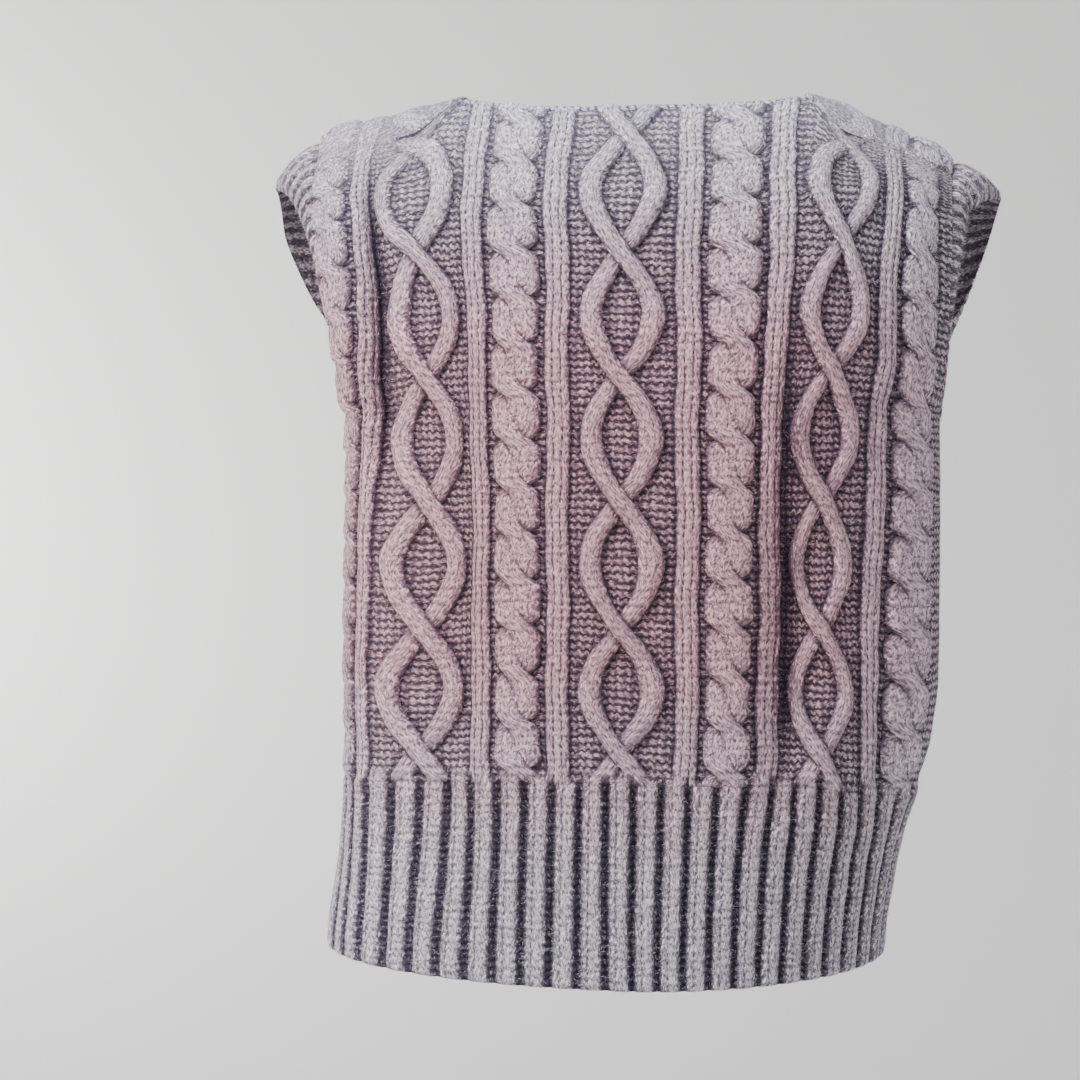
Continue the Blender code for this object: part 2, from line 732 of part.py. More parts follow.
def neck_loop(back, front):
    """Points and outward directions all round the neck, from the wearer's right corner along the back."""
    left, right = LAST + NECK_TRACK, LAST - NECK_TRACK
    places = [(back_point, BACK, back[column, 0]) for column in range(right, left + 1)]
    places += [(front_point, FRONT, front[left, step]) for step in range(1, SHOULDER_STEPS + 1)]
    places += [(front_point, FRONT, front[column, SHOULDER_STEPS]) for column in range(left - 1, right - 1, -1)]
    places += [(front_point, FRONT, front[right, step]) for step in range(SHOULDER_STEPS - 1, 0, -1)]
    return [(point(out, row), outward(point, face, out, row)) for point, face, (out, row) in places]


def make_neck_edge(back, front):
    """A narrow bound-off edge that stands on the panels all round the neck."""
    loop = neck_loop(back, front)
    count = len(loop)
    profile = [(SEAM_GAP, 0.0), (SEAM_GAP, EDGE_THICK), (EDGE_HEIGHT, EDGE_THICK), (EDGE_HEIGHT, 0.0)]

    def ring(bm):
        verts = []
        for i, (point, normal) in enumerate(loop):
            along = loop[(i + 1) % count][0] - loop[i - 1][0]
            rise = along.cross(normal).normalized()
            verts.append([bm.verts.new(point + rise * up + normal * through) for up, through in profile])
        for i in range(count):
            this, following = verts[i], verts[(i + 1) % count]
            for j in range(len(profile)):
                after = (j + 1) % len(profile)
                bm.faces.new([this[j], this[after], following[after], following[j]])

    new_piece("neck_edge", ring)


# ---- the vest ----

for old in list(bpy.data.objects):
    bpy.data.objects.remove(old)
vest = bpy.data.collections.new("cable_knit_vest")
bpy.context.scene.collection.children.link(vest)

back_layout = make_back_panel()
front_layout = make_front_panel(back_layout)
make_hem_rib("back_hem_rib", back_point, BACK)
make_hem_rib("front_hem_rib", front_point, FRONT)
make_armhole_band("left_armhole_band", 1, back_layout, front_layout)
make_armhole_band("right_armhole_band", -1, back_layout, front_layout)
make_neck_edge(back_layout, front_layout)
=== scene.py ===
"""Cable knit vest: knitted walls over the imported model, their yarn, and a plain studio round them.

Metres, +Z up. The wearer faces -Y, so the back is on the +Y side and the wearer's left is +X. A panel is
laid out in knitted measures, "out" from its centre line and "row" down from the neck points, and named tables
say where those measures lie on the worn form. The pattern counts in wales and rows of stitches: u and v.
"""

import json
from collections import namedtuple
from math import pi, radians

import bpy
import numpy as np
from bpy.props import FloatProperty, FloatVectorProperty, IntProperty, PointerProperty
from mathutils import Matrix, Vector

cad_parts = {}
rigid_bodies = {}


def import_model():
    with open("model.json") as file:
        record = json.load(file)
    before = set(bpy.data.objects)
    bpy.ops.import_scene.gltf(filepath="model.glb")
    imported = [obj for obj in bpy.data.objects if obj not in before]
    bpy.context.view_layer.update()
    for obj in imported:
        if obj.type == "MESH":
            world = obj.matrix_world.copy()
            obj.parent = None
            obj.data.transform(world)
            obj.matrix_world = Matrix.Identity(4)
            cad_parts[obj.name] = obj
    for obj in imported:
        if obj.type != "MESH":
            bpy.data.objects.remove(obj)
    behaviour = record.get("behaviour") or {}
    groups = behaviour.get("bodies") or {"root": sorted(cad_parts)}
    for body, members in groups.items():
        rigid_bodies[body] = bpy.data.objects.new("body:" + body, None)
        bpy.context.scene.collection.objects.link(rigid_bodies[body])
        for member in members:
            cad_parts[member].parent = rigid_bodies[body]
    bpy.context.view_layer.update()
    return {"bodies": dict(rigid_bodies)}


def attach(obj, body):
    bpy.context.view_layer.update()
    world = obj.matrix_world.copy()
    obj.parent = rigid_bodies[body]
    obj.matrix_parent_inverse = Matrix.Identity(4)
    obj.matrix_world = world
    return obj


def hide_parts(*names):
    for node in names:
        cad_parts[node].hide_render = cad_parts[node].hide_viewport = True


bl_info = {
    "name": "Cable Knit Vest",
    "version": (1, 0, 0),
    "blender": (4, 5, 0),
    "location": "View3D > Sidebar > Vest",
    "description": "Knits a sleeveless cable vest over its packed model, with its yarn and a plain studio",
    "category": "Mesh",
}

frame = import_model()
BODY = next(iter(frame["bodies"]))

# ---- the knitting ----
ROW_HEIGHT = 0.00503           # one knitted row
WALE = 0.0054                  # one knitted stitch, across
NECK_LEVEL = 0.0265            # back panel's top edge at the centre, below the neck points
RIB_LEVEL = NECK_LEVEL + 88 * ROW_HEIGHT
HEM_LEVEL = 0.601
PANEL_HALF = 0.262             # knitted half width of a panel at the side seam
HEM_DRAWN = 0.005              # rise of its lower edge at the wearer's right seam
SEAM_GAP = 0.0004              # between two pieces
MILLIMETRES = 1000             # in a metre

TWIST_SPACING = 26.11          # wales from one open twist's middle to the next
TWIST_ROWS = 16                # rows from crossing to crossing
TWIST_START = 4                # row of the first crossing
TWIST_REACH = 3.85             # wales from the middle to a strand's centre, at the widest
ROPE_OUT = 13.06               # wales from the centre line to the inner rope
ROPE_ROWS = 6
ROPE_START = 2
ROPE_REACH = 1.04
ROPE_HALF = 1.80               # half the width of one of a rope's two strands, in wales
RIB_OUTS = (8.06, 18.06, 34.26)   # wales from the centre line to each rib's middle
STRAND_HALF = 1.5              # half the width of a twist's strand or a rib, in wales
TWIST_QUICK = 0.5              # share of a repeat in which its strands change sides
ROPE_QUICK = 0.24
NEARNESS = 2.6                 # how soon, in repeats, a crossing's lift dies away beside it
TWISTS_END = 38                # wales from the centre line beyond which no twist lies
ROPES_PART = 26.4              # and from which on a place belongs to the outer rope
TWIST_ROUND = 2.2              # how square the tops of strands and ropes are: 2 is round
ROPE_ROUND = 3.8
HEM_ROUND = 2.4
SHOULDER_SHARE = 0.22          # share of the cables' rise left where the front lies over the shoulder
SHOULDER_ROW = -0.055          # row at which it starts to grow back, and the rows that this takes
SHOULDER_OVER = 0.04
FELT_OUT, FELT_WIDTH = 21.5, 4    # wales from the centre line where felting starts, and how softly
FELT_ROWS, FELT_FADE = 8, 6    # rows down to which the back is felted, and over which it fades
HEM_RIBS = 14                  # ribs in half a panel's width
HEM_PITCH = PANEL_HALF / HEM_RIBS
HEM_COLUMNS = 12               # modelled columns of each
BAND_RIBS = 44
BAND_COLUMNS = 10
EDGE_COLUMNS = 5               # modelled columns of each loop of the neck edge, and points round it
EDGE_ROUND = 16
HEM_RIB_HALF = 0.425           # half the width of a hem rib, in ribs
TOP_WALL = 0.0014              # thickness of a panel at its top seam
TOP_SINK = 0.012               # knitted length over which it grows to the full one
SINK_OUT, SINK_FADE = 0.150, 0.030    # how far out the seam thins the panel less, and how softly that begins
SINK_LEFT = 0.75               # share of the full thickness that is left there
CABLES_END, CABLES_FADE = 0.006, 0.012    # how far below the rib level cables end, and over what length
RIBS_START, RIBS_GROW = 0.011, 0.015      # how far above it the hem's ribs start, and over what length
GROUND_THINS, GROUND_FADE = 0.002, 0.014  # the same for the ground, which thins to a groove
LUMPS = 0.0003                 # height of the cloth's unevenness

# ---- the worn form ----
SHOULDER_ROUND = 0.12          # height over which the shoulders round off below their ridge
RIDGE_LEVEL = 0.03             # level of the section on which a place of the ridge is looked for
KNEE = 0.09                    # row down to which the back's top rows follow its top edge
CHEST_END = 0.14               # row from which the front's form blends into that of the sides
RIDE_OVER, SAG_FROM = 0.33, 0.3   # rows over which the ride beside the neck fades, and where the sag starts
UNDERARM = NECK_LEVEL + 40 * ROW_HEIGHT
NECK_CORNER = 0.1264           # where neck edge and shoulder seam meet


def table(columns, *rows):
    """Rows of a table whose columns are named."""
    return [namedtuple("Row", columns)(*row) for row in rows]


# A horizontal section of the inside face at each level below the neck points. left, right: how far out the
# side or armhole seam lies. back, front: depth at the centre. seam_back, seam_front: depth of the seam.
# turn: degrees through which half a section bends. edge: knitted distance from the centre to the seam.
SECTIONS = table(
    "level left right back front seam_back seam_front turn edge",
    (0.000, 0.224, 0.215, 0.088, 0.092, 0.056, 0.060, 60, 0.226),
    (0.060, 0.222, 0.213, 0.096, 0.100, 0.056, 0.062, 62, 0.226),
    (0.110, 0.216, 0.211, 0.106, 0.112, 0.053, 0.061, 66, 0.227),
    (0.160, 0.210, 0.209, 0.112, 0.122, 0.043, 0.050, 74, 0.230),
    (0.195, 0.206, 0.207, 0.116, 0.128, 0.032, 0.037, 80, 0.235),
    (0.214, 0.205, 0.206, 0.117, 0.130, 0.020, 0.024, 84, 0.245),
    (UNDERARM, 0.204, 0.205, 0.118, 0.131, 0.000, 0.000, 90, 0.262),
    (0.300, 0.203, 0.205, 0.119, 0.130, 0.000, 0.000, 90, 0.262),
    (0.400, 0.204, 0.204, 0.119, 0.126, 0.000, 0.000, 90, 0.262),
    (0.450, 0.203, 0.198, 0.119, 0.124, 0.000, 0.000, 90, 0.262),
    (0.490, 0.204, 0.184, 0.119, 0.123, 0.000, 0.000, 90, 0.262),
    (0.530, 0.207, 0.173, 0.119, 0.122, 0.000, 0.000, 90, 0.262),
    (0.601, 0.216, 0.164, 0.118, 0.122, 0.000, 0.000, 90, 0.262))
# Height of the shoulder ridge, out from the centre.
RIDGES = table(
    "out left right",
    (0.000, 0.003, 0.003),
    (0.125, -0.002, -0.009),
    (0.145, -0.005, -0.018),
    (0.165, -0.010, -0.027),
    (0.200, -0.017, -0.048),
    (0.235, -0.036, -0.074),
    (0.260, -0.056, -0.098))
# Top edge of the back panel: the neck curve, then the shoulder seam, which lies behind the ridge.
BACK_TOP = table(
    "out left right",
    (0.000, -0.0265, -0.0265),
    (0.060, -0.0235, -0.0265),
    (0.098, -0.0170, -0.0225),
    (0.118, -0.0112, -0.0182),
    (NECK_CORNER, -0.0107, -0.0178),
    (0.138, -0.0235, -0.0320),
    (0.150, -0.0330, -0.0415),
    (0.185, -0.0395, -0.0520),
    (0.226, -0.0490, -0.0680),
    (0.262, -0.0540, -0.0740))
# Front neckline: how far it lies from the ridge, as cloth down the front.
NECKLINE = table(
    "out down",
    (0.000, 0.146),
    (0.035, 0.142),
    (0.070, 0.129),
    (0.095, 0.112),
    (0.112, 0.092),
    (0.118, 0.080))
NECK_FOOT = NECKLINE[-1]
# Its upright stretch, from the corner at the shoulder seam over the ridge.
NECK_UPRIGHT = table(
    "down out",
    (-0.060, NECK_CORNER),
    (0.010, 0.1255),
    (0.050, 0.1230),
    (NECK_FOOT.down, NECK_FOOT.out))
# How rows ride up beside the neck, and sag at the sides above the hem rib.
ROW_RIDES = table(
    "out lift sag",
    (0.000, 0.000, 0.000),
    (0.070, 0.003, 0.000),
    (0.141, 0.009, 0.004),
    (0.185, 0.004, 0.008),
    (0.262, -0.010, 0.014))
# Armhole band's free edge, at turns round the opening: 0 underarm, 90 back, 180 shoulder tip, 270 front.
BAND_EDGES = table(
    "turn left right depth high_left high_right",
    (0, 0.200, 0.203, 0.000, -0.192, -0.190),
    (45, 0.203, 0.204, 0.021, -0.176, -0.176),
    (90, 0.213, 0.211, 0.029, -0.130, -0.134),
    (135, 0.233, 0.220, 0.027, -0.085, -0.097),
    (165, 0.253, 0.239, 0.014, -0.063, -0.082),
    (195, 0.265, 0.249, -0.009, -0.058, -0.079),
    (235, 0.266, 0.244, -0.031, -0.083, -0.099),
    (270, 0.249, 0.228, -0.041, -0.129, -0.142),
    (315, 0.211, 0.207, -0.027, -0.177, -0.177),
    (360, 0.200, 0.203, 0.000, -0.192, -0.190))
BACK_TURN = 150                # turn at which the shoulder seam meets the armhole
BAND_BELLY = 0.005             # how far the band's middle stands out at the shoulder
BAND_ROLL = 0.86               # share of its width from which the free edge rounds off
BAND_JOIN = 0.12               # share over which it grows to its thickness beside the seam

# Troughs and swells of the worn cloth: where they run, how far they lean out on their way down, how wide they
# are and how deep. A negative depth swells outwards.
BACK, FRONT = 1, -1
FOLDS = table(
    "face out lean start end width depth",
    (BACK, 0.171, 0.002, 0.05, 0.33, 0.013, 0.0120),
    (BACK, 0.186, 0.008, 0.09, 0.27, 0.018, -0.0030),
    (BACK, -0.108, 0.001, 0.26, 0.50, 0.014, 0.0105),
    (BACK, -0.141, 0.004, 0.24, 0.46, 0.024, 0.0030),
    (BACK, 0.088, -0.012, 0.10, 0.36, 0.026, 0.0018),
    (BACK, -0.052, 0.014, 0.06, 0.24, 0.028, 0.0016),
    (BACK, -0.172, 0.010, 0.36, 0.52, 0.020, -0.0030),
    (BACK, 0.205, 0.012, 0.30, 0.50, 0.026, 0.0034),
    (BACK, 0.040, 0.020, 0.33, 0.47, 0.030, -0.0022),
    (BACK, -0.210, -0.030, 0.17, 0.30, 0.017, 0.0032),
    (BACK, 0.120, 0.016, 0.37, 0.53, 0.022, 0.0026),
    (BACK, -0.030, -0.010, 0.40, 0.55, 0.024, 0.0020),
    (FRONT, 0.166, 0.012, 0.13, 0.34, 0.018, 0.0058),
    (FRONT, -0.158, -0.014, 0.10, 0.29, 0.019, 0.0052),
    (FRONT, 0.060, -0.018, 0.24, 0.48, 0.026, 0.0030),
    (FRONT, -0.098, 0.010, 0.28, 0.50, 0.021, 0.0044),
    (FRONT, -0.205, 0.014, 0.32, 0.54, 0.024, 0.0032),
    (FRONT, 0.215, 0.022, 0.20, 0.33, 0.018, 0.0034),
    (FRONT, -0.020, 0.020, 0.19, 0.33, 0.030, -0.0024),
    (FRONT, 0.118, -0.008, 0.36, 0.52, 0.020, -0.0028))


# How far the worn back has drawn its columns out from where they were knitted, in millimetres: the rib and
# the rope's far rib beside the centre twist, the outer twist's strands, the rib beyond it and the last rope's
# edges.
DRAWN_COLUMNS = {
    "rib": 0.0435, "far_rib": 0.0975, "strand": 0.1202, "far_strand": 0.1618, "side_rib": 0.1850,
    "rope_near": 0.1978, "rope_far": 0.2284}
DRAWN_LEFT = table(
    "row " + " ".join(DRAWN_COLUMNS),
    (0.09, 0.0, 4.0, 2.0, 6.0, -1.0, -0.5, 0.0),
    (0.17, -2.7, 0.0, -5.5, -7.0, -1.0, 0.0, 1.0),
    (0.25, -3.2, -1.2, -7.6, -3.0, 11.0, 10.0, 7.0),
    (0.33, -3.2, -3.1, -9.5, 5.5, 19.0, 17.5, 11.0),
    (0.41, -3.3, -3.4, -6.0, 9.8, 22.5, 21.0, 13.0),
    (0.47, -3.0, -3.0, -4.0, 9.0, 20.0, 18.0, 12.0),
    (0.60, -2.0, -2.0, 0.0, 7.0, 13.0, 11.5, 8.0))
DRAWN_RIGHT = table(
    "row " + " ".join(DRAWN_COLUMNS),
    (0.09, 0.8, 9.0, 10.5, 2.6, -3.9, -6.3, -13.0),
    (0.17, 0.0, 4.2, 2.2, -6.0, -10.0, -11.0, -12.0),
    (0.25, 0.0, -0.5, -4.9, -10.4, -12.5, -11.8, -1.0),
    (0.33, 0.0, -2.6, -5.7, -16.0, -16.5, -15.5, -1.6),
    (0.41, -0.5, -3.6, -5.3, -13.0, -19.0, -19.0, -2.5),
    (0.45, 0.0, -2.0, -4.0, -9.0, -13.0, -14.0, -1.5),
    (0.50, 0.0, 0.0, 0.0, 0.0, -2.0, -2.0, 0.0),
    (0.60, 0.0, 0.0, 0.0, 0.0, 0.0, 0.0, 0.0))


# ---- sizes and colours a user would change ----

def a_length(name, description, default):
    return FloatProperty(name=name, description=description, default=default, unit="LENGTH")


def a_power(name, description, default):
    return FloatProperty(name=name, description=description, default=default, unit="POWER")


def a_colour(name, description, default):
    return FloatVectorProperty(
        name=name, description=description, default=default, subtype="COLOR", min=0, max=1)


def a_count(name, description, default):
    return IntProperty(name=name, description=description, default=default, min=1, max=30000)


class VestKnit(bpy.types.PropertyGroup):
    ground: a_length("Ground", "Thickness of the purl ground", 0.0030)
    rib_rise: a_length("Rib rise", "Height of a column of knit wales above the ground", 0.0030)
    strand_rise: a_length("Strand rise", "Height of a twist's strand above the ground", 0.0056)
    rope_rise: a_length("Rope rise", "Height of a rope above the ground", 0.0050)
    over_rise: a_length("Crossing rise", "How far the upper strand lifts at a crossing", 0.0014)
    hem_crest: a_length("Hem crest", "Thickness of the hem on a rib", 0.0068)
    hem_groove: a_length("Hem groove", "Thickness of the hem between ribs", 0.0020)
    band_crest: a_length("Band crest", "Thickness of an armhole band on a rib", 0.0050)
    band_groove: a_length("Band groove", "Thickness of an armhole band between ribs", 0.0026)
    edge_height: a_length("Neck edge height", "Width of the bound-off neck edge", 0.0055)
    edge_thick: a_length("Neck edge thickness", "Thickness of the bound-off neck edge", 0.0046)


class VestNap(bpy.types.PropertyGroup):
    panel_ends: a_count("Panel fibres", "Fibre ends that stand out of a panel", 26000)
    hem_ends: a_count("Hem fibres", "Fibre ends that stand out of a hem", 9000)
    band_ends: a_count("Band fibres", "Fibre ends that stand out of an armhole band", 3000)
    length: a_length("Length", "Length of the longest fibre ends", 0.0042)
    thickness: a_length("Thickness", "Thickness of a fibre end at its root", 0.00024)


class VestYarn(bpy.types.PropertyGroup):
    # light and deep are the ends of a painted shade: painted light where the yarn stands proud, painted shade
    # deep between stitches, and body between them.
    light: a_colour("Light fibres", "Colour of the yarn where it stands proud", (0.738, 0.682, 0.778))
    body: a_colour("Yarn", "Colour of the yarn's body", (0.208, 0.181, 0.228))
    deep: a_colour("Recesses", "Colour of the yarn deep between stitches", (0.011, 0.009, 0.027))
    fleck: a_colour("Flecks", "Colour of the pale fibres", (0.920, 0.860, 0.900))
    # The next colour is painted warm light, strongest on the back between shoulders and hem.
    painted_warm_light: a_colour("Warmth", "Tint that warms the yarn between shoulders and hem", (1.000, 0.622, 0.632))
    stitch_depth: a_length("Stitch depth", "Depth of the relief between stitches", 0.0018)
    sheen: FloatProperty(
        name="Halo", description="Strength of the soft sheen of the fibre ends", default=0.07,
        subtype="FACTOR", min=0, max=1)


class VestStage(bpy.types.PropertyGroup):
    floor_level: a_length("Floor level", "Height of the floor below the neck points", -1.05)
    floor: a_colour("Floor", "Colour of the floor and its backdrop", (0.80, 0.80, 0.79))
    key: a_power("Key light", "Power of the light over the wearer's left shoulder", 78.0)
    fill: a_power("Fill light", "Power of the soft light at the wearer's right", 7.5)
    top: a_power("Top light", "Power of the cool light overhead", 9.9)
    wall: a_power("Wall light", "Power of the light on the backdrop", 150.0)
    sky: FloatProperty(
        name="Surrounding light", description="Strength of the even light all round", default=0.345)


# ---- reading the tables ----

def read(rows, key, column):
    """A table's column at each key, on a smooth curve that doesn't swing past the rows."""
    keys = np.array([row[0] for row in rows])
    values = np.array([getattr(row, column) for row in rows])
    rates = np.diff(values) / np.diff(keys)
    before, after = rates[:-1], rates[1:]
    slopes = np.zeros(len(rows))
    smooth = before * after > 0
    slopes[1:-1][smooth] = 2 * before[smooth] * after[smooth] / (before[smooth] + after[smooth])
    key = np.clip(key, keys[0], keys[-1])
    i = np.clip(np.searchsorted(keys, key, side="right") - 1, 0, len(keys) - 2)
    span = keys[i + 1] - keys[i]
    t = (key - keys[i]) / span
    rise = t * t * (3 - 2 * t)
    return values[i] * (1 - rise) + values[i + 1] * rise + swing(span, t, slopes[i], slopes[i + 1])


def swing(span, t, slope, next_slope):
    """How far a curve between two knots leaves an eased step, for its slopes at both."""
    return span * (t - 1) * t * ((t - 1) * slope + t * next_slope)


def ease(t):
    """0 to 1, soft at both ends."""
    t = np.clip(t, 0.0, 1.0)
    return t * t * (3 - 2 * t)


def mix(a, b, t):
    return a + (b - a) * t


def unit(vectors):
    return vectors / np.linalg.norm(vectors, axis=-1, keepdims=True)


def lengths_along(line):
    """How far each point of a line lies from its start."""
    return np.concatenate([[0], np.cumsum(np.linalg.norm(np.diff(line, axis=0), axis=1))])


def looped(line):
    return np.concatenate([line, line[:1]])


# ---- the worn form of a panel's inside face ----

LEVEL_STEP = 0.0025
LEVELS = np.arange(0.0, HEM_LEVEL + 3 * LEVEL_STEP, LEVEL_STEP)
SHARE_STEPS = 256


def half_sections(side, face):
    """Half a section at every level, as points at even shares of its length from centre line to seam."""
    shares = np.linspace(0, 1, SHARE_STEPS + 1)
    shares_of_turn = np.linspace(0, 1, 121)
    layers = []
    for level in LEVELS:
        reach = read(SECTIONS, level, "left" if side > 0 else "right")
        depth = read(SECTIONS, level, "back" if face == BACK else "front")
        seam = read(SECTIONS, level, "seam_back" if face == BACK else "seam_front")
        turn = radians(read(SECTIONS, level, "turn"))
        angle = turn * shares_of_turn
        x = reach * np.sin(angle) / np.sin(turn)
        y = face * mix(seam, depth, (np.cos(angle) - np.cos(turn)) / (1 - np.cos(turn)))
        run = np.concatenate([[0], np.cumsum(np.hypot(np.diff(x), np.diff(y)))])
        at = shares * run[-1]
        layers.append(np.stack([side * np.interp(at, run, x), np.interp(at, run, y)], axis=-1))
    return np.array(layers)


FORM = np.array([[half_sections(side, face) for face in (BACK, FRONT)] for side in (1, -1)])


def on_section(level, out, face):
    """Where a knitted distance out from the centre lies on the section at a level."""
    level, out, face = np.broadcast_arrays(np.maximum(level, 0.0), out, face)
    share = np.minimum(np.abs(out) / read(SECTIONS, level, "edge"), 1.0) * SHARE_STEPS
    high = np.clip(level / LEVEL_STEP, 0, len(LEVELS) - 1.001)
    i, j = high.astype(int), np.minimum(share.astype(int), SHARE_STEPS - 1)
    a, b = (high - i)[..., None], (share - j)[..., None]
    side, front = (out < 0).astype(int), (face == FRONT).astype(int)
    upper = mix(FORM[side, front, i, j], FORM[side, front, i, j + 1], b)
    lower = mix(FORM[side, front, i + 1, j], FORM[side, front, i + 1, j + 1], b)
    place = mix(upper, lower, a)
    return place[..., 0], place[..., 1]


def two_sided(rows, x):
    """A table's left or right column, by the side on which a place lies."""
    return np.where(x > 0, read(rows, np.abs(x), "left"), read(rows, np.abs(x), "right"))


def ridge_height(x):
    return two_sided(RIDGES, x)


def row_height(out, row):
    """Height of a knitted row, away from the top edges."""
    lift = read(ROW_RIDES, np.abs(out), "lift") * (1 - ease((row - NECK_LEVEL) / RIDE_OVER))
    sag = read(ROW_RIDES, np.abs(out), "sag") * ease((row - SAG_FROM) / (RIB_LEVEL - SAG_FROM))
    sag = sag * np.clip((HEM_LEVEL - row) / (HEM_LEVEL - RIB_LEVEL), 0, 1)
    drawn = HEM_DRAWN * ease(-out / PANEL_HALF) * ease((row - RIB_LEVEL) / (HEM_LEVEL - RIB_LEVEL))
    return -row + lift - sag + drawn


def fold_depth(face, out, row):
    depth = np.zeros(np.broadcast(out, row).shape)
    for fold in FOLDS:
        if fold.face == face:
            along = np.clip((row - fold.start) / (fold.end - fold.start), 0, 1)
            across = np.minimum(np.abs(out - fold.out - fold.lean * along) / fold.width, 2)
            depth = depth + fold.depth * np.sin(pi * along) * (0.5 + 0.5 * np.cos(pi * across / 2))
    return depth


def shoulder_angle(x, height):
    return np.arccos(np.clip(1 - (ridge_height(x) - height) / SHOULDER_ROUND, 0.0, 1.0))


def at_height(face, out, row, height):
    """A place of the inside face at a height of its own, folded as its row is."""
    x, y = on_section(-height, out, face)
    y = y * np.sin(shoulder_angle(x, height))
    return np.stack([x, y - face * fold_depth(face, out, row), height + 0 * x], axis=-1)


def back_point(out, row):
    """The back panel's inside face."""
    top = two_sided(BACK_TOP, out)
    share = (row - NECK_LEVEL) / (KNEE - NECK_LEVEL)
    height = np.where(row < KNEE, mix(top, row_height(out, KNEE), share), row_height(out, row))
    return at_height(BACK, out, row, height)


def round_length(out):
    """Length of the front's cloth from the ridge down to where the shoulder's rounding ends."""
    depth = np.abs(on_section(SHOULDER_ROUND, out, FRONT)[1])
    return pi / 2 * np.sqrt((SHOULDER_ROUND ** 2 + depth ** 2) / 2)


def over_ridge(out, down):
    """A point of the shoulder or chest, so much cloth down from the ridge: below 0 it lies on the back."""
    face = np.where(down > 0, FRONT, BACK)
    length = round_length(out)
    angle = np.minimum(np.abs(down) / length, 1.0) * pi / 2
    below = np.maximum(np.abs(down) - length, 0.0)
    x = on_section(RIDGE_LEVEL, out, face)[0]
    for _ in range(3):
        height = ridge_height(x) - SHOULDER_ROUND * (1 - np.cos(angle)) - below
        x, y = on_section(-height, out, face)
    return np.stack([x, y * np.sin(angle), height], axis=-1)


def seam_down(out):
    """Where the shoulder seam lies, as cloth down from the ridge: negative, because it is on the back."""
    seam = back_point(out, NECK_LEVEL)
    return -round_length(out) * shoulder_angle(seam[..., 0], seam[..., 2]) / (pi / 2)


def underarm_down(out):
    """How far down the front's cloth the underarm's level lies from the ridge."""
    ridge = ridge_height(on_section(RIDGE_LEVEL, out, FRONT)[0])
    return round_length(out) + ridge - SHOULDER_ROUND + UNDERARM


def front_point(out, row):
    """The front panel's inside face. Rows above the underarm are counted up along the cloth."""
    low = at_height(FRONT, out, row, row_height(out, row))
    high = over_ridge(out, underarm_down(out) - (UNDERARM - row))
    share = ease((row - CHEST_END) / (UNDERARM - CHEST_END))[..., None]
    high[..., 1] += fold_depth(FRONT, out, row)
    return high * (1 - share) + low * share


def front_row(out, down):
    """Row of the front that lies so much cloth down from the ridge."""
    return UNDERARM - underarm_down(out) + down


def outward(point, face, out, row):
    """Direction out of the cloth at each place."""
    step = 0.0015
    across = point(out + step, row) - point(out - step, row)
    down = point(out, row + step) - point(out, row - step)
    return face * unit(np.cross(across, down))


# ---- the cable pattern, for arrays of points and for shaders alike: m is numpy or ShaderMaths ----

def limited(m, value):
    """Held between 0 and 1."""
    return m.maximum(m.minimum(value, 1), 0)


Strands = namedtuple("Strands", "over under near past lean_over lean_under")


def crossing_strands(m, across, v, start, rows, reach, quick, half):
    """Two strands that cross every few rows, the one from the upper left on top.

    lean_over, lean_under: how far a place is from each strand's centre, 1 at its edge; over and under are the
    same without their signs. near: 1 at a crossing, 0 away from it. past: how far beyond the upper strand's
    cover a place is, negative under it.
    """
    turn = (v - start) / rows
    turn = turn - m.round(turn)
    shift = reach * m.sin(pi / 2 * m.maximum(m.minimum(turn / quick, 1), -1))
    near = m.maximum(1 - m.abs(turn) * NEARNESS, 0)
    lean_over, lean_under = (across - shift) / half, (across + shift) / half
    over, under = m.abs(lean_over), m.abs(lean_under)
    past = m.maximum(over - 1, over - under - near * 2)
    return Strands(over, under, near, past, lean_over, lean_under)


def twist_strands(m, u, v, hand):
    across = hand * (u - TWIST_SPACING * m.round(u / TWIST_SPACING))
    return crossing_strands(m, across, v, TWIST_START, TWIST_ROWS, TWIST_REACH, TWIST_QUICK, STRAND_HALF)


def rope_strands(m, u, v, hand):
    centre = ROPE_OUT + TWIST_SPACING * (m.abs(u) > ROPES_PART)
    across = hand * (u - m.sign(u) * centre)
    return crossing_strands(m, across, v, ROPE_START, ROPE_ROWS, ROPE_REACH, ROPE_QUICK, ROPE_HALF)


def rib_offset(m, u):
    """How far a place is from the nearest rib's centre, 1 at its edge."""
    far = m.abs(u)
    offset = m.abs(far - RIB_OUTS[0])
    for rib in RIB_OUTS[1:]:
        offset = m.minimum(offset, m.abs(far - rib))
    return offset / STRAND_HALF


def knitted_out(out, row, rows):
    """Where on the flat knitting lies the column that the worn back shows so far out."""
    knots = [0 * row]
    for column, knitted in DRAWN_COLUMNS.items():
        knots.append(knitted + read(rows, row, column) / MILLIMETRES)
    knots.append(0 * row + PANEL_HALF)
    knitted = (0.0, *DRAWN_COLUMNS.values(), PANEL_HALF)
    rates = [(b - a) / (far - near) for a, b, near, far in zip(knitted, knitted[1:], knots, knots[1:])]
    slopes = [rates[0]] + [2 * a * b / (a + b) for a, b in zip(rates, rates[1:])] + [rates[-1]]
    found = knitted[-1] + (out - knots[-1]) * slopes[-1]
    for i in range(len(rates)):
        span = knots[i + 1] - knots[i]
        t = np.clip((out - knots[i]) / span, 0, 1)
        curve = mix(knitted[i], knitted[i + 1], ease(t)) + swing(span, t, slopes[i], slopes[i + 1])
        found = np.where((out >= knots[i]) & (out < knots[i + 1]), curve, found)
    return found


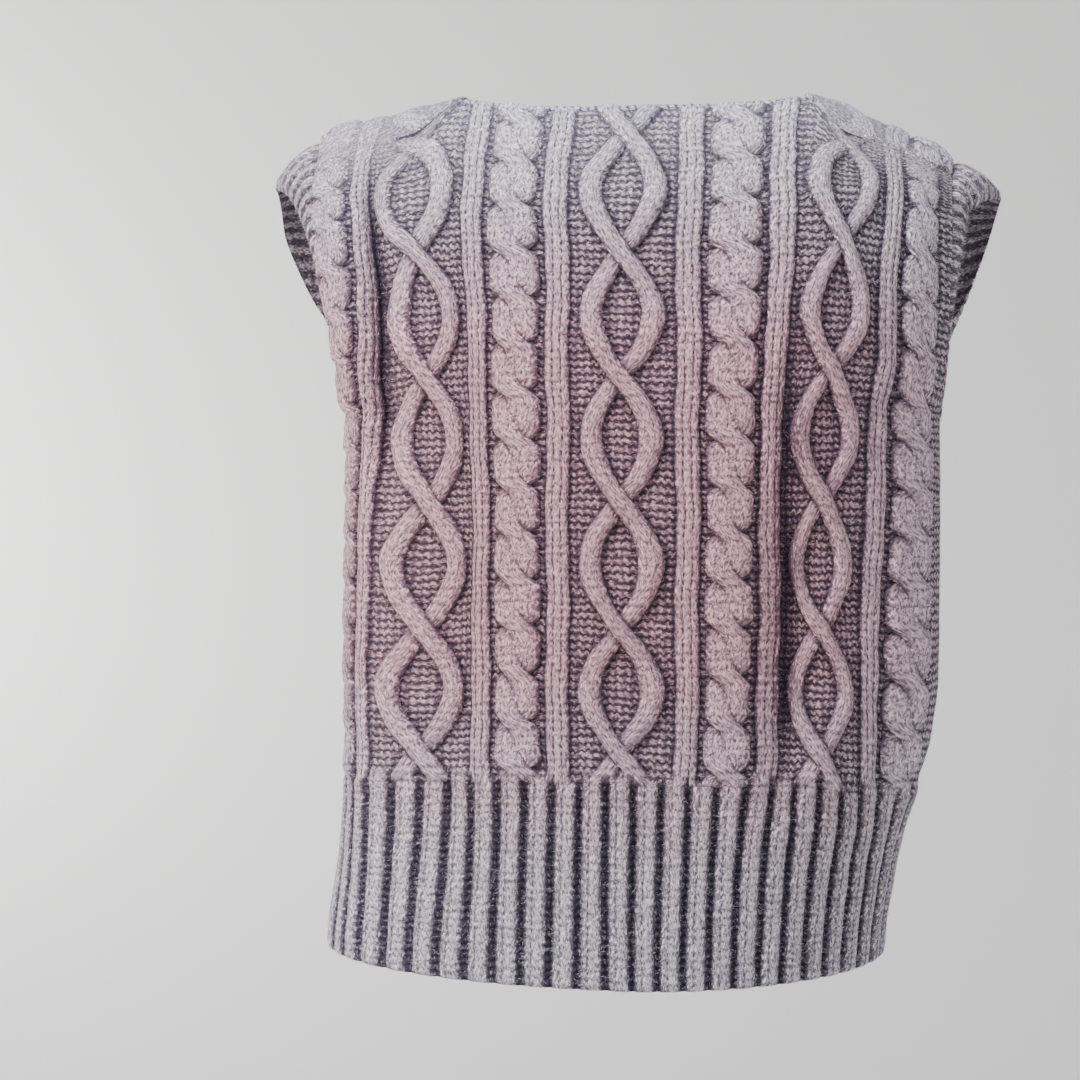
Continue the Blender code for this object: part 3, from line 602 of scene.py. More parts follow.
def knit_places(face, out, row):
    """Wales and rows at a place of a panel, as uneven as hand knitting."""
    out, row = np.broadcast_arrays(np.asarray(out, float), np.asarray(row, float))
    if face == BACK:
        far = np.abs(out)
        out = np.where(out > 0, knitted_out(far, row, DRAWN_LEFT), -knitted_out(far, row, DRAWN_RIGHT))
    u, v = out / WALE, (row - NECK_LEVEL) / ROW_HEIGHT
    u_drift = 0.13 * np.sin(0.29 * v + 1.7 * np.sin(0.23 * u)) + 0.07 * np.sin(0.83 * v + 0.6 * u)
    v_drift = 0.22 * np.sin(0.21 * u + 0.9 * np.sin(0.17 * v)) + 0.10 * np.sin(0.83 * u - 0.4 * v)
    held = np.clip((PANEL_HALF - np.abs(out)) / 0.02, 0, 1) * (1 - 0.65 * ease((v - 84) / 6))
    return u + u_drift * held, v + v_drift


def felted_cap(m, u, v):
    """1 where the back's shoulder is worn to felt, 0 below it."""
    beside = limited(m, (m.abs(u) - FELT_OUT) / FELT_WIDTH)
    return beside * limited(m, (FELT_ROWS - v) / FELT_FADE)


# Creases beside the back's outer twists, where dark shade is painted: their wale, and the rows where each
# starts and ends, and how softly.
CREASES = table("wale start growth end fade", (32.3, 7, 8, 48, 12), (-20.3, 24, 20, 86, 8))
CREASE_WIDTH = 2.8


def painted_crease_shade(m, u, v):
    """1 deep in the painted shade of the creases, 0 beside them."""
    first, second = (
        m.maximum(1 - m.abs(u - crease.wale) / CREASE_WIDTH, 0)
        * limited(m, (crease.end - v) / crease.fade) * limited(m, (v - crease.start) / crease.growth)
        for crease in CREASES)
    return first + second


def round_top(t, power=3):
    return np.sqrt(np.maximum(1 - np.minimum(t, 1) ** power, 0))


def cable_relief(knit, face, u, v, row):
    """Rise of twists, ropes and ribs above a panel's purl ground."""
    twist, rope, rib = twist_strands(np, u, v, -face), rope_strands(np, u, v, -face), rib_offset(np, u)
    wales = np.abs(np.sin(pi * 1.5 * (rib + 1)))
    rise = knit.rib_rise * round_top(rib) * (0.68 + 0.32 * wales)
    for strands, height, shown, power in (
        (twist, knit.strand_rise, np.abs(u) < TWISTS_END, TWIST_ROUND),
        (rope, knit.rope_rise, True, ROPE_ROUND),
    ):
        lift = knit.over_rise * strands.near
        over = round_top(strands.over, power) * (height + lift)
        under = round_top(strands.under, power) * (height - 1.5 * lift)
        rise = np.maximum(rise, shown * np.maximum(over, under))
    shoulder = mix(SHOULDER_SHARE, 1, ease((row - SHOULDER_ROW) / SHOULDER_OVER))
    return rise * shoulder * (1 - 0.7 * felted_cap(np, u, v) * (face == BACK))


def rib_lead(m, u):
    """How many rows before the hem each of its ribs starts."""
    rib = m.round(u * (WALE / HEM_PITCH))
    return 0.2 + 0.6 * m.sin(rib * 2.3) + 0.4 * m.sin(rib * 5.1 + 1)


def hem_relief(knit, u):
    """Rise of the hem's ribs above its grooves."""
    across = u * WALE / HEM_PITCH
    across = np.abs(across - np.round(across)) / HEM_RIB_HALF
    return (knit.hem_crest - knit.hem_groove) * round_top(across, HEM_ROUND)


def wall_thickness(knit, face, out, row):
    """Thickness of panel and hem together: cables die away where the hem's ribs begin."""
    u, v = knit_places(face, out, row)
    lead = rib_lead(np, u) * ROW_HEIGHT
    cables = cable_relief(knit, face, u, v, row) * ease((RIB_LEVEL + CABLES_END - row) / CABLES_FADE)
    ribs = hem_relief(knit, u) * ease((row - RIB_LEVEL + RIBS_START + lead) / RIBS_GROW)
    thinned = ease((row - RIB_LEVEL + GROUND_THINS + lead) / GROUND_FADE)
    base = mix(knit.ground, knit.hem_groove, thinned)
    lumps = np.sin(u * 1.3 + 2 * np.sin(v * 0.31)) * np.sin(v * 0.57 + 1.7 * np.sin(u * 0.4))
    return base + np.maximum(cables, ribs) + LUMPS * lumps


# ---- walls ----

def placed(name, data):
    """A new object of the scene."""
    thing = bpy.data.objects.new(name, data)
    bpy.context.scene.collection.objects.link(thing)
    return thing


def fetched(items, attribute, width=1, kind=int):
    """One attribute of all a mesh's items, as a flat array."""
    values = np.empty(len(items) * width, kind)
    items.foreach_get(attribute, values)
    return values


def finish_mesh(name, points, faces, inner, places, materials):
    """A cloth object from points, faces, the faces that line it, and each point's (u, v)."""
    points = np.asarray(points)
    mesh = bpy.data.meshes.new(name)
    mesh.from_pydata(points.tolist(), [], faces)
    mesh.calc_loop_triangles()
    corners = fetched(mesh.loop_triangles, "vertices", 3)
    a, b, c = points[corners.reshape(-1, 3)].transpose(1, 0, 2)
    if np.einsum("ij,ij->", a, np.cross(b, c)) < 0:
        mesh.flip_normals()
    mesh.polygons.foreach_set("material_index", np.asarray(inner, int))
    loops = fetched(mesh.loops, "vertex_index")
    layer = mesh.uv_layers.new(name="knit")
    layer.uv.foreach_set("vector", np.asarray(places, float)[loops].ravel())
    for material in materials:
        mesh.materials.append(material)
    mesh.shade_smooth()
    mesh.set_sharp_from_angle(angle=radians(75))
    mesh.update()
    return placed(name, mesh)


def wall_faces(present, coarse_columns, coarse_steps):
    """Faces of a closed wall over a grid, which of them line it, and the places of its inside.

    The outside has every place of the grid, the inside only the border's and the crossings of the coarse
    columns and steps.
    """
    outer = np.full(present.shape, -1)
    outer[present] = np.arange(present.sum())
    cells = present[:-1, :-1] & present[1:, :-1] & present[1:, 1:] & present[:-1, 1:]
    cell_list = np.argwhere(cells)
    c, s = cell_list.T
    faces = np.stack([outer[c, s], outer[c + 1, s], outer[c + 1, s + 1], outer[c, s + 1]], axis=-1).tolist()
    lining = [0] * len(faces)
    padded = np.pad(cells, 1)
    inner = {}
    first = int(present.sum())

    def inner_index(place):
        if place not in inner:
            inner[place] = first + len(inner)
        return inner[place]

    for (dc, ds), (a, b) in (
        ((0, -1), ((0, 0), (1, 0))), ((1, 0), ((1, 0), (1, 1))),
        ((0, 1), ((1, 1), (0, 1))), ((-1, 0), ((0, 1), (0, 0))),
    ):
        open_side = cells & ~padded[1 + dc:1 + dc + cells.shape[0], 1 + ds:1 + ds + cells.shape[1]]
        for column, step in np.argwhere(open_side).tolist():
            p, q = (column + a[0], step + a[1]), (column + b[0], step + b[1])
            faces.append([int(outer[q]), int(outer[p]), inner_index(p), inner_index(q)])
            lining.append(0)

    def shut(column, step):
        inside = 0 <= column < cells.shape[0] and 0 <= step < cells.shape[1]
        return inside and cells[column, step]

    for left, right in zip(coarse_columns, coarse_columns[1:]):
        for top, bottom in zip(coarse_steps, coarse_steps[1:]):
            if not cells[left:right, top:bottom].all():
                if cells[left:right, top:bottom].any():
                    raise RuntimeError("a coarse cell crosses the border of its wall")
                continue
            ring = [(i, top) for i in range(left, right) if i == left or not shut(i, top - 1)]
            ring += [(right, j) for j in range(top, bottom) if j == top or not shut(right, j)]
            ring += [(i, bottom) for i in range(right, left, -1) if i == right or not shut(i - 1, bottom)]
            ring += [(left, j) for j in range(bottom, top, -1) if j == bottom or not shut(left - 1, j - 1)]
            faces.append([inner_index(place) for place in reversed(ring)])
            lining.append(1)
    return faces, lining, list(inner)


def knitted_wall(name, point, face, out, row, present, thickness, coarse_columns, coarse_steps, materials):
    """A closed wall of cloth over a grid of (out, row) places."""
    half_gap = SEAM_GAP / 2
    gone = ~np.pad(present, 1)
    parted = half_gap * (np.abs(row - RIB_LEVEL) > ROW_HEIGHT / 10)
    row = row + parted * gone[1:-1, :-2] - parted * gone[1:-1, 2:]
    out = out + half_gap * gone[:-2, 1:-1] - half_gap * gone[2:, 1:-1]
    inside = point(out, row)
    outside = inside + outward(point, face, out, row) * thickness(out, row)[..., None]
    faces, lining, inner = wall_faces(present, coarse_columns, coarse_steps)
    inner_c, inner_s = np.array(inner).T
    points = np.concatenate([outside[present], inside[inner_c, inner_s]])
    uv = np.stack(knit_places(face, out, row), axis=-1)
    places = np.concatenate([uv[present], uv[inner_c, inner_s]])
    return finish_mesh(name, points, faces, lining, places, materials)


def lattice(*stretches):
    """Even steps over stretches given as (start, end, steps)."""
    parts = [np.linspace(start, end, steps + 1)[:-1] for start, end, steps in stretches]
    return np.concatenate(parts + [[stretches[-1][1]]])


def every(count, step, keep=()):
    return sorted({*range(0, count, step), count - 1, *keep})


SPREAD_FROM = NECK_FOOT.out
HALF_COLUMNS = ((0, SPREAD_FROM, 72), (SPREAD_FROM, PANEL_HALF, 88))
NECK_COLUMN = 88               # the column, from the seam, that starts at the neck's corner


def nominal_columns():
    half = lattice(*HALF_COLUMNS)
    return np.concatenate([-half[:0:-1], half])


def edge_at(point, side, row):
    """Knitted width of a panel, from its centre to its armhole or side seam, at a row."""
    out = np.full(np.shape(row), PANEL_HALF)
    for _ in range(5):
        out = read(SECTIONS, np.maximum(-point(side * out, row)[..., 2], 0.0), "edge")
    return np.where(row < UNDERARM, out, PANEL_HALF)


def spread(nominal, edge, start=SPREAD_FROM):
    """Columns beyond the neck closed up where the armhole cuts the panel narrower."""
    far = np.abs(nominal)
    closed = start + (far - SPREAD_FROM) * (edge - start) / (PANEL_HALF - SPREAD_FROM)
    return np.where(far >= SPREAD_FROM, closed, far)


def back_places():
    nominal = nominal_columns()[:, None]
    row = lattice((NECK_LEVEL, RIB_LEVEL, 250))[None, :]
    nominal, row = np.broadcast_arrays(nominal, row)
    side = np.where(nominal >= 0, 1, -1)
    return side * spread(nominal, edge_at(back_point, side, row)), row, np.ones(row.shape, bool)


SHOULDER_STEPS, CHEST_STEPS, WAIST_STEPS = 60, 96, 124


def front_places():
    """Places of the front, whose columns beside the neck run over the ridge to the shoulder seams."""
    columns = nominal_columns()
    side = np.where(columns >= 0, 1, -1)[:, None]
    far = np.abs(columns)[:, None]
    waist = lattice((UNDERARM, RIB_LEVEL, WAIST_STEPS))[None, :]
    waist_out, waist_row = np.broadcast_arrays(side * far, waist)

    share = lattice((0, 1, CHEST_STEPS))[None, :-1]
    out, row = np.broadcast_arrays(far, share)
    row = mix(0.05, UNDERARM, share) + 0 * far
    for _ in range(4):
        out = spread(far, edge_at(front_point, side, row))
        top = front_row(side * out, read(NECKLINE, out, "down"))
        row = mix(top, UNDERARM, share)
    chest_out, chest_row = side * out, row

    share = lattice((0, 1, SHOULDER_STEPS))[None, :-1]
    start = mix(seam_down(side * NECK_CORNER), NECK_FOOT.down, share)
    floor = read(NECK_UPRIGHT, start, "out")
    far = np.maximum(far, SPREAD_FROM)
    row = mix(-0.09, 0.0, share) + 0 * far
    for _ in range(4):
        out = spread(far, edge_at(front_point, side, row), floor)
        down = mix(seam_down(side * out), read(NECKLINE, out, "down"), share)
        row = front_row(side * out, down)
    out = np.concatenate([side * out, chest_out, waist_out], axis=1)
    row = np.concatenate([row, chest_row, waist_row], axis=1)
    present = np.ones(out.shape, bool)
    present[NECK_COLUMN + 1:-NECK_COLUMN - 1, :SHOULDER_STEPS] = False
    return out, row, present


def panel_thickness(knit, face, top):
    """Thickness of a panel, sunk towards its shoulder seams."""
    def thickness(out, row):
        full = wall_thickness(knit, face, out, row)
        level = mix(0.0, SINK_LEFT, ease((np.abs(out) - SINK_OUT) / SINK_FADE))
        risen = np.maximum(ease((row - top(out, row)) / TOP_SINK + 0.10), level)
        return mix(TOP_WALL, full, risen)
    return thickness


def make_panel(name, point, face, places, top, coarse_steps, knit, yarns):
    """A panel's wall over its places. top: the row of its shoulder seam, or -1 away from it."""
    out, row, present = places
    last = out.shape[0] - 1
    coarse_columns = every(out.shape[0], 5, (NECK_COLUMN, last - NECK_COLUMN))
    thickness = panel_thickness(knit, face, top)
    return knitted_wall(
        name, point, face, out, row, present, thickness, coarse_columns,
        every(out.shape[1], 5, coarse_steps), yarns)


def make_back_panel(knit, yarns):
    def seam_row(out, row):
        return np.where(np.abs(out) > NECK_CORNER, NECK_LEVEL, -1)

    return make_panel("back_panel_knit", back_point, BACK, back_places(), seam_row, (), knit, yarns)


def make_front_panel(knit, yarns):
    def seam_row(out, row):
        return np.where(row < 0.02, front_row(out, seam_down(out)), -1)

    return make_panel(
        "front_panel_knit", front_point, FRONT, front_places(), seam_row, (SHOULDER_STEPS,), knit, yarns)


def make_hem_rib(name, point, face, knit, yarns):
    """Deep ribs below a panel, with the lower edge rolled under."""
    start, rolled, roll_height = RIB_LEVEL + 0.012, HEM_LEVEL - 0.006, 0.005
    out = np.linspace(-PANEL_HALF, PANEL_HALF, 2 * HEM_RIBS * HEM_COLUMNS + 1)[:, None]
    row = lattice((RIB_LEVEL, start, 8), (start, rolled, 40), (rolled, HEM_LEVEL, 6))[None, :]
    out, row = np.broadcast_arrays(out, row)

    def thickness(out, row):
        roll = np.clip((row - (HEM_LEVEL - roll_height)) / roll_height, 0, 1)
        return wall_thickness(knit, face, out, row) * (0.25 + 0.75 * np.sqrt(1 - 0.999 * roll ** 2))

    return knitted_wall(
        name, point, face, out, row, np.ones(out.shape, bool), thickness,
        every(out.shape[0], 4), every(out.shape[1], 4), yarns)


# ---- bands and edges ----

def spaced(points, count):
    """Indices, as fractions, at even lengths along a closed line of points."""
    run = lengths_along(looped(points))
    return np.interp(np.linspace(0, run[-1], count + 1)[:-1], run, np.arange(len(run)))


def picked(values, index):
    """Values read between their places in a closed line."""
    i = np.floor(index).astype(int)
    t = (index - i).reshape(-1, *[1] * (values.ndim - 1))
    return mix(values[i % len(values)], values[(i + 1) % len(values)], t)


def ring_mesh(name, rings, uv, lined, materials):
    """A closed tube of rings. The faces round it from lined[0] up to lined[1] are its lining."""
    count, around = rings.shape[:2]
    faces, lining, points = [], [], rings.reshape(-1, 3)
    for i in range(count):
        j = (i + 1) % count
        for k in range(around):
            n = (k + 1) % around
            faces.append([i * around + k, i * around + n, j * around + n, j * around + k])
            lining.append(int(lined[0] <= k < lined[1]))
    piece = finish_mesh(name, points, faces, lining, uv.reshape(-1, 2), materials)
    # the seam of the loop runs on instead of jumping back
    layer = piece.data.uv_layers["knit"]
    length = uv[:, :, 0].max() + uv[1, 0, 0] - uv[0, 0, 0]
    flat = fetched(layer.uv, "vector", 2, float).reshape(-1, 4, 2)
    jump = (flat[:, :, 0].max(axis=1) - flat[:, :, 0].min(axis=1)) > length / 2
    low = flat[:, :, 0] < length / 2
    flat[:, :, 0] += length * (jump[:, None] & low)
    layer.uv.foreach_set("vector", flat.ravel())
    return piece


def armhole_line(side):
    """Points, outward directions and turns of the seam round one armhole: from the underarm up the back,
    over the shoulder and down the front."""
    back_count, front_count = 90, 139
    back_rows = np.linspace(UNDERARM, NECK_LEVEL, back_count)
    back_out = side * edge_at(back_point, np.full(back_count, side), back_rows)
    front_share = np.linspace(0, 1, front_count + 1)[:-1]
    row = mix(-0.12, UNDERARM, front_share)
    for _ in range(5):
        out = edge_at(front_point, np.full(front_count, side), row)
        out[0] = abs(back_out[-1])
        row = mix(front_row(side * out, seam_down(side * out)), UNDERARM, front_share)
    front_out = side * out
    points = np.concatenate([back_point(back_out, back_rows)[:-1], front_point(front_out, row)])
    normals = np.concatenate([
        outward(back_point, BACK, back_out, back_rows)[:-1], outward(front_point, FRONT, front_out, row)])
    corner = back_count - 1
    run = lengths_along(looped(points))
    turns = np.where(
        np.arange(len(points)) < corner,
        BACK_TURN * run[:-1] / run[corner],
        BACK_TURN + (360 - BACK_TURN) * (run[:-1] - run[corner]) / (run[-1] - run[corner]))
    return points, normals, turns


def make_armhole_band(name, side, knit, yarns):
    """A ribbed strip from the armhole seam to its free edge, each rib square to the edge."""
    points, normals, turns = armhole_line(side)
    count = BAND_RIBS * BAND_COLUMNS
    index = spaced(points, count)
    start, normal = picked(points, index), unit(picked(normals, index))
    closed_turns = np.append(turns, 360.0)
    turn = np.interp(index, np.arange(len(closed_turns)), closed_turns)
    left = side > 0
    free = np.stack([
        side * read(BAND_EDGES, turn, "left" if left else "right"),
        read(BAND_EDGES, turn, "depth"),
        read(BAND_EDGES, turn, "high_left" if left else "high_right")], axis=-1)
    reach = free - start
    along = np.roll(start + free, -1, axis=0) - np.roll(start + free, 1, axis=0)
    face = unit(np.cross(reach, along))
    face *= np.sign(np.einsum("ij,ij->i", face, normal))[:, None]
    ribs = np.arange(count) / BAND_COLUMNS
    across = np.abs(ribs - np.round(ribs)) * 2
    thick = knit.band_groove + (knit.band_crest - knit.band_groove) * round_top(across / 0.95)
    belly = BAND_BELLY * np.sin(np.radians(turn / 2)) ** 2
    shares = np.linspace(0, 1, 13)
    outer, inner = [], []
    for t in shares:
        base = start + unit(reach) * SEAM_GAP + reach * t
        lift = face * (4 * t * (1 - t) * belly)[:, None]
        facing = unit(mix(normal, face, min(3 * t, 1)))
        rounded = np.sqrt(1 - max(0.0, (t - BAND_ROLL) / (1 - BAND_ROLL)) ** 2 * 0.9)
        at_seam = mix(0.5, 1.0, min(t / BAND_JOIN, 1.0))
        outer.append(base + lift + facing * (thick * rounded * at_seam)[:, None])
        inner.append(base + lift + facing * (0.0002 * across)[:, None])
    rings = np.stack(outer + inner[::-1], axis=1)
    long = np.linalg.norm(reach, axis=1)
    v = [long * t / ROW_HEIGHT for t in shares]
    v = np.stack(v + v[::-1], axis=1)
    u = np.broadcast_to(ribs[:, None], v.shape)
    return ring_mesh(name, rings, np.stack([u, v], axis=-1), (len(shares), 2 * len(shares) - 1), yarns)


def neck_line():
    """Points and outward directions all round the neck, from the wearer's right corner along the back."""
    back_out = np.linspace(-NECK_CORNER, NECK_CORNER, 160)
    parts = [(back_point, BACK, back_out, np.full(160, NECK_LEVEL))]
    share = np.linspace(0, 1, 90)[1:]
    for side in (1, -1):
        down = mix(seam_down(np.array(side * NECK_CORNER)), NECK_FOOT.down, share)
        out = side * read(NECK_UPRIGHT, down, "out")
        parts.append((front_point, FRONT, out, front_row(out, down)))
    across = np.linspace(NECK_FOOT.out, -NECK_FOOT.out, 160)[1:-1]
    scoop = (front_point, FRONT, across, front_row(across, read(NECKLINE, np.abs(across), "down")))
    back, left, right = parts
    right = (front_point, FRONT, right[2][::-1], right[3][::-1])
    order = [back, left, scoop, right]
    points = np.concatenate([point(out, row) for point, _, out, row in order])
    normals = np.concatenate([outward(*part) for part in order])
    return points, normals


def make_neck_edge(knit, yarns):
    """The bound-off edge all round the neck, a chain of small loops."""
    points, normals = neck_line()
    stitches = round(lengths_along(looped(points))[-1] / WALE)
    index = spaced(points, stitches * EDGE_COLUMNS)
    line, normal = picked(points, index), unit(picked(normals, index))
    along = np.roll(line, -2, axis=0) - np.roll(line, 2, axis=0)
    rise = unit(np.cross(along, normal))
    loops = np.arange(len(line)) / EDGE_COLUMNS
    swell = 0.5 + 0.5 * np.cos(2 * pi * loops)
    angles = np.linspace(0, 2 * pi, EDGE_ROUND, endpoint=False) + pi / EDGE_ROUND
    rings, v = [], []
    for k, angle in enumerate(angles):
        c, s = np.cos(angle), np.sin(angle)
        up = knit.edge_height / 2 * (1 + np.sign(c) * abs(c) ** 0.7) + SEAM_GAP / 2
        through = knit.edge_thick / 2 * (1 + np.sign(s) * abs(s) ** 0.7 * (0.88 + 0.12 * swell))
        up = up - 0.0006 * (1 - swell) * (c > 0)
        rings.append(line + rise * np.atleast_1d(up)[:, None] + normal * np.atleast_1d(through)[:, None])
        v.append(np.full(len(line), k / EDGE_ROUND * 3))
    uv = np.stack([np.broadcast_to(loops[:, None], (len(line), EDGE_ROUND)), np.stack(v, axis=1)], axis=-1)
    return ring_mesh("neck_edge_knit", np.stack(rings, axis=1), uv, (0, 0), yarns)


def outside_triangles(mesh):
    """The three corners of every triangle of a wall's outside."""
    mesh.calc_loop_triangles()
    corners = fetched(mesh.loop_triangles, "vertices", 3).reshape(-1, 3)
    lining = fetched(mesh.polygons, "material_index")[fetched(mesh.loop_triangles, "polygon_index")]
    points = fetched(mesh.vertices, "co", 3, float).reshape(-1, 3)
    return points[corners[lining == 0]].transpose(1, 0, 2)


NAP_ROOT = 0.0003              # how deep a fibre is rooted
NAP_HANG = (0, 0, -0.15)       # its own weight's pull on its lean


def make_nap(name, wall, ends, nap, yarn):
    """Fibre ends that lean out of a wall's outside, each a thin closed spike."""
    a, b, c = outside_triangles(wall.data)
    normal = np.cross(b - a, c - a)
    area = np.linalg.norm(normal, axis=1)
    chance = np.random.default_rng(len(name) + ends)
    chosen = chance.choice(len(area), ends, p=area / area.sum())
    s, t = np.sqrt(chance.random(ends))[:, None], chance.random(ends)[:, None]
    normal = normal[chosen] / area[chosen][:, None]
    root = a[chosen] * (1 - s) + b[chosen] * s * (1 - t) + c[chosen] * s * t - normal * NAP_ROOT
    lean = unit(normal * chance.uniform(0.25, 0.9, (ends, 1)) + chance.normal(0, 0.5, (ends, 3)) + NAP_HANG)
    lean = np.where(np.einsum("ij,ij->i", lean, normal)[:, None] < 0, -lean, lean)
    length = nap.length * chance.uniform(0.35, 1.0, (ends, 1)) ** 1.5
    first = unit(np.cross(lean, np.roll(lean, 1, axis=1) + 0.01))
    second = np.cross(lean, first)
    foot = [
        root + nap.thickness / 2 * (np.cos(angle) * first + np.sin(angle) * second)
        for angle in (0, 2 * pi / 3, 4 * pi / 3)]
    spikes = np.stack(foot + [root + lean * length], axis=1).reshape(-1, 3)
    corner = np.array([(0, 1, 3), (1, 2, 3), (2, 0, 3), (2, 1, 0)])
    faces = (np.arange(ends)[:, None, None] * 4 + corner).reshape(-1, 3)
    fibres = bpy.data.meshes.new(name)
    fibres.from_pydata(spikes.tolist(), [], faces.tolist())
    fibres.materials.append(yarn)
    return placed(name, fibres)


# ---- shaders ----

# A shade, painted into the yarn's colour, runs from 0, painted shade deep between stitches, to 1, painted
# light on the proudest fibres. Places are counted in wales and rows, so the numbers in the formulas below are
# shares of a full shade, of a wale or of a row.

def joined(operation, *values):
    """A Math node on numbers and shader values."""
    tree = next(value.tree for value in values if isinstance(value, Value))
    node = tree.nodes.new("ShaderNodeMath")
    node.operation = operation
    for socket, value in zip(node.inputs, values):
        feed(tree, socket, value)
    return Value(tree, node.outputs[0])


def feed(tree, socket, value):
    if isinstance(value, Value):
        tree.links.new(value.socket, socket)
    else:
        socket.default_value = value


def maths(operation, reflected=False):
    """A function of values that adds a Math node, with two values swapped for a reflected operator."""
    return lambda *values: joined(operation, *(values[::-1] if reflected else values))


class Value:
    """A shader's socket that Python's operators work on, each adding its Math node."""

    def __init__(self, tree, socket):
        self.tree, self.socket = tree, socket

    __add__ = __radd__ = maths("ADD")
    __sub__, __rsub__ = maths("SUBTRACT"), maths("SUBTRACT", reflected=True)
    __mul__ = __rmul__ = maths("MULTIPLY")
    __truediv__, __rtruediv__ = maths("DIVIDE"), maths("DIVIDE", reflected=True)
    __pow__, __rpow__ = maths("POWER"), maths("POWER", reflected=True)
    __gt__, __lt__ = maths("GREATER_THAN"), maths("LESS_THAN")


class ShaderMaths:
    """Functions of shader values, named as numpy names them."""

    sin, abs, sign, round, fract, exp, minimum, maximum = (
        staticmethod(maths(operation)) for operation in (
            "SINE", "ABSOLUTE", "SIGN", "ROUND", "FRACT", "EXPONENT", "MINIMUM", "MAXIMUM"))


# Painted warm light on the yarn: where it is warmest, how far it holds above and below, how it fades at the
# wearer's right, and how much of it is left at the front.
WARM_LEVEL, WARM_REACH, WARM_FADE = -0.29, 0.10, 0.17
WARM_RIGHT, WARM_RIGHT_FADE = -0.28, 0.15
WARM_DEPTH, WARM_MIDDLE = 2.4, 0.75
# Painted light from above, which pales the shade over the shoulders: from what height, how softly, its
# strength and its shade.
PAINTED_TOP_LIGHT_LEVEL, PAINTED_TOP_LIGHT_FADE, PAINTED_TOP_LIGHT, PAINTED_TOP_LIGHT_SHADE = -0.11, 0.10, 0.24, 0.88
BODY_SHADE = 0.45              # shade at which the yarn has its body's colour
LIGHT_SPAN = 0.6               # how much more of it brings out the light colour, painted light on proud yarn, in full
GRAIN_RELIEF = 0.55            # relief of the fibres, beside that of a stitch


class YarnShader:
    """The node tree of one yarn material."""

    def __init__(self, name):
        self.material = bpy.data.materials.new(name)
        self.material.use_nodes = True
        self.tree = self.material.node_tree
        self.surface = self.tree.nodes["Principled BSDF"]

    def node(self, kind, settings=None, inputs=None, output=0):
        """Any node: settings are its own properties, inputs its sockets' numbers, colours or values."""
        node = self.tree.nodes.new(kind)
        for key, value in (settings or {}).items():
            setattr(node, key, value)
        for key, value in (inputs or {}).items():
            feed(self.tree, node.inputs[key], value)
        return Value(self.tree, node.outputs[output])

    def parts(self, vector):
        """x, y and z of a vector."""
        split = self.node("ShaderNodeSeparateXYZ", inputs={0: vector}).socket.node
        return [Value(self.tree, output) for output in split.outputs]

    def knitted(self):
        """Wales and rows at a place of the knitting."""
        return self.parts(self.node("ShaderNodeUVMap", {"uv_map": "knit"}))[:2]

    def place(self):
        """Distance to the wearer's left, depth behind and height of a place."""
        return self.parts(self.node("ShaderNodeTexCoord", output=3))

    def surfaced(self, **inputs):
        """The material, with these sockets of its surface set."""
        for name, value in inputs.items():
            feed(self.tree, self.surface.inputs[name.replace("_", " ")], value)
        return self.material

    def noise(self, x, y, z=0.0, detail=2.0, rough=0.5):
        place = self.node("ShaderNodeCombineXYZ", inputs={0: x, 1: y, 2: z})
        return self.node("ShaderNodeTexNoise", inputs={
            "Vector": place, "Scale": 1.0, "Detail": detail, "Roughness": rough})

    def blend(self, factor, a, b, kind="MIX"):
        """A colour between a and b."""
        return self.node(
            "ShaderNodeMix", {"data_type": "RGBA", "blend_type": kind},
            {0: factor, 6: colour_of(a), 7: colour_of(b)}, output=2)

    def with_painted_warm_light(self, yarn, colour, place):
        """The colour under painted warm light, warmest on the back between shoulders and hem, and least at
        the wearer's right.
        """
        m = ShaderMaths
        out, depth, level = place
        warm = 1 - limited(m, (m.abs(level - WARM_LEVEL) - WARM_REACH) / WARM_FADE)
        warm = warm * limited(m, (out - WARM_RIGHT) / WARM_RIGHT_FADE)
        warm = warm * limited(m, depth * WARM_DEPTH + WARM_MIDDLE)
        return self.blend(warm, colour, yarn.painted_warm_light, "MULTIPLY")

    def finish(self, yarn, shade, height, grain, flecks, painted_slit_shade=0.0):
        """Colour from how proud a place stands, as painted shade and painted light, and from its fibres,
        relief from its height.

        painted_slit_shade: 1 in a seam's fold, where dark shade is painted.
        """
        m = ShaderMaths
        place = self.place()
        # painted light from above: the shade pales towards the shoulders
        painted_top_light = limited(m, (place[2] - PAINTED_TOP_LIGHT_LEVEL) / PAINTED_TOP_LIGHT_FADE) * PAINTED_TOP_LIGHT
        shade = shade * (1 - painted_top_light) + PAINTED_TOP_LIGHT_SHADE * painted_top_light
        shade = shade * (0.48 + 1.02 * grain) * (1 - painted_slit_shade)
        low = limited(m, shade / BODY_SHADE)
        high = limited(m, (shade - BODY_SHADE) / LIGHT_SPAN)
        colour = self.blend(low, yarn.deep, yarn.body)
        colour = self.blend(high, colour, yarn.light)
        colour = self.blend(flecks * limited(m, (shade - 0.10) * 1.9), colour, yarn.fleck)
        colour = self.with_painted_warm_light(yarn, colour, place)
        bump = self.node("ShaderNodeBump", inputs={
            "Strength": 1.0, "Distance": yarn.stitch_depth, "Height": height + grain * GRAIN_RELIEF})
        return self.surfaced(
            Base_Color=colour, Normal=bump, Roughness=0.95, Specular_IOR_Level=0.20, Sheen_Weight=yarn.sheen,
            Sheen_Roughness=0.40, Sheen_Tint=(0.92, 0.90, 0.96, 1.0))


def colour_of(value):
    return value if isinstance(value, Value) else (*value, 1.0)


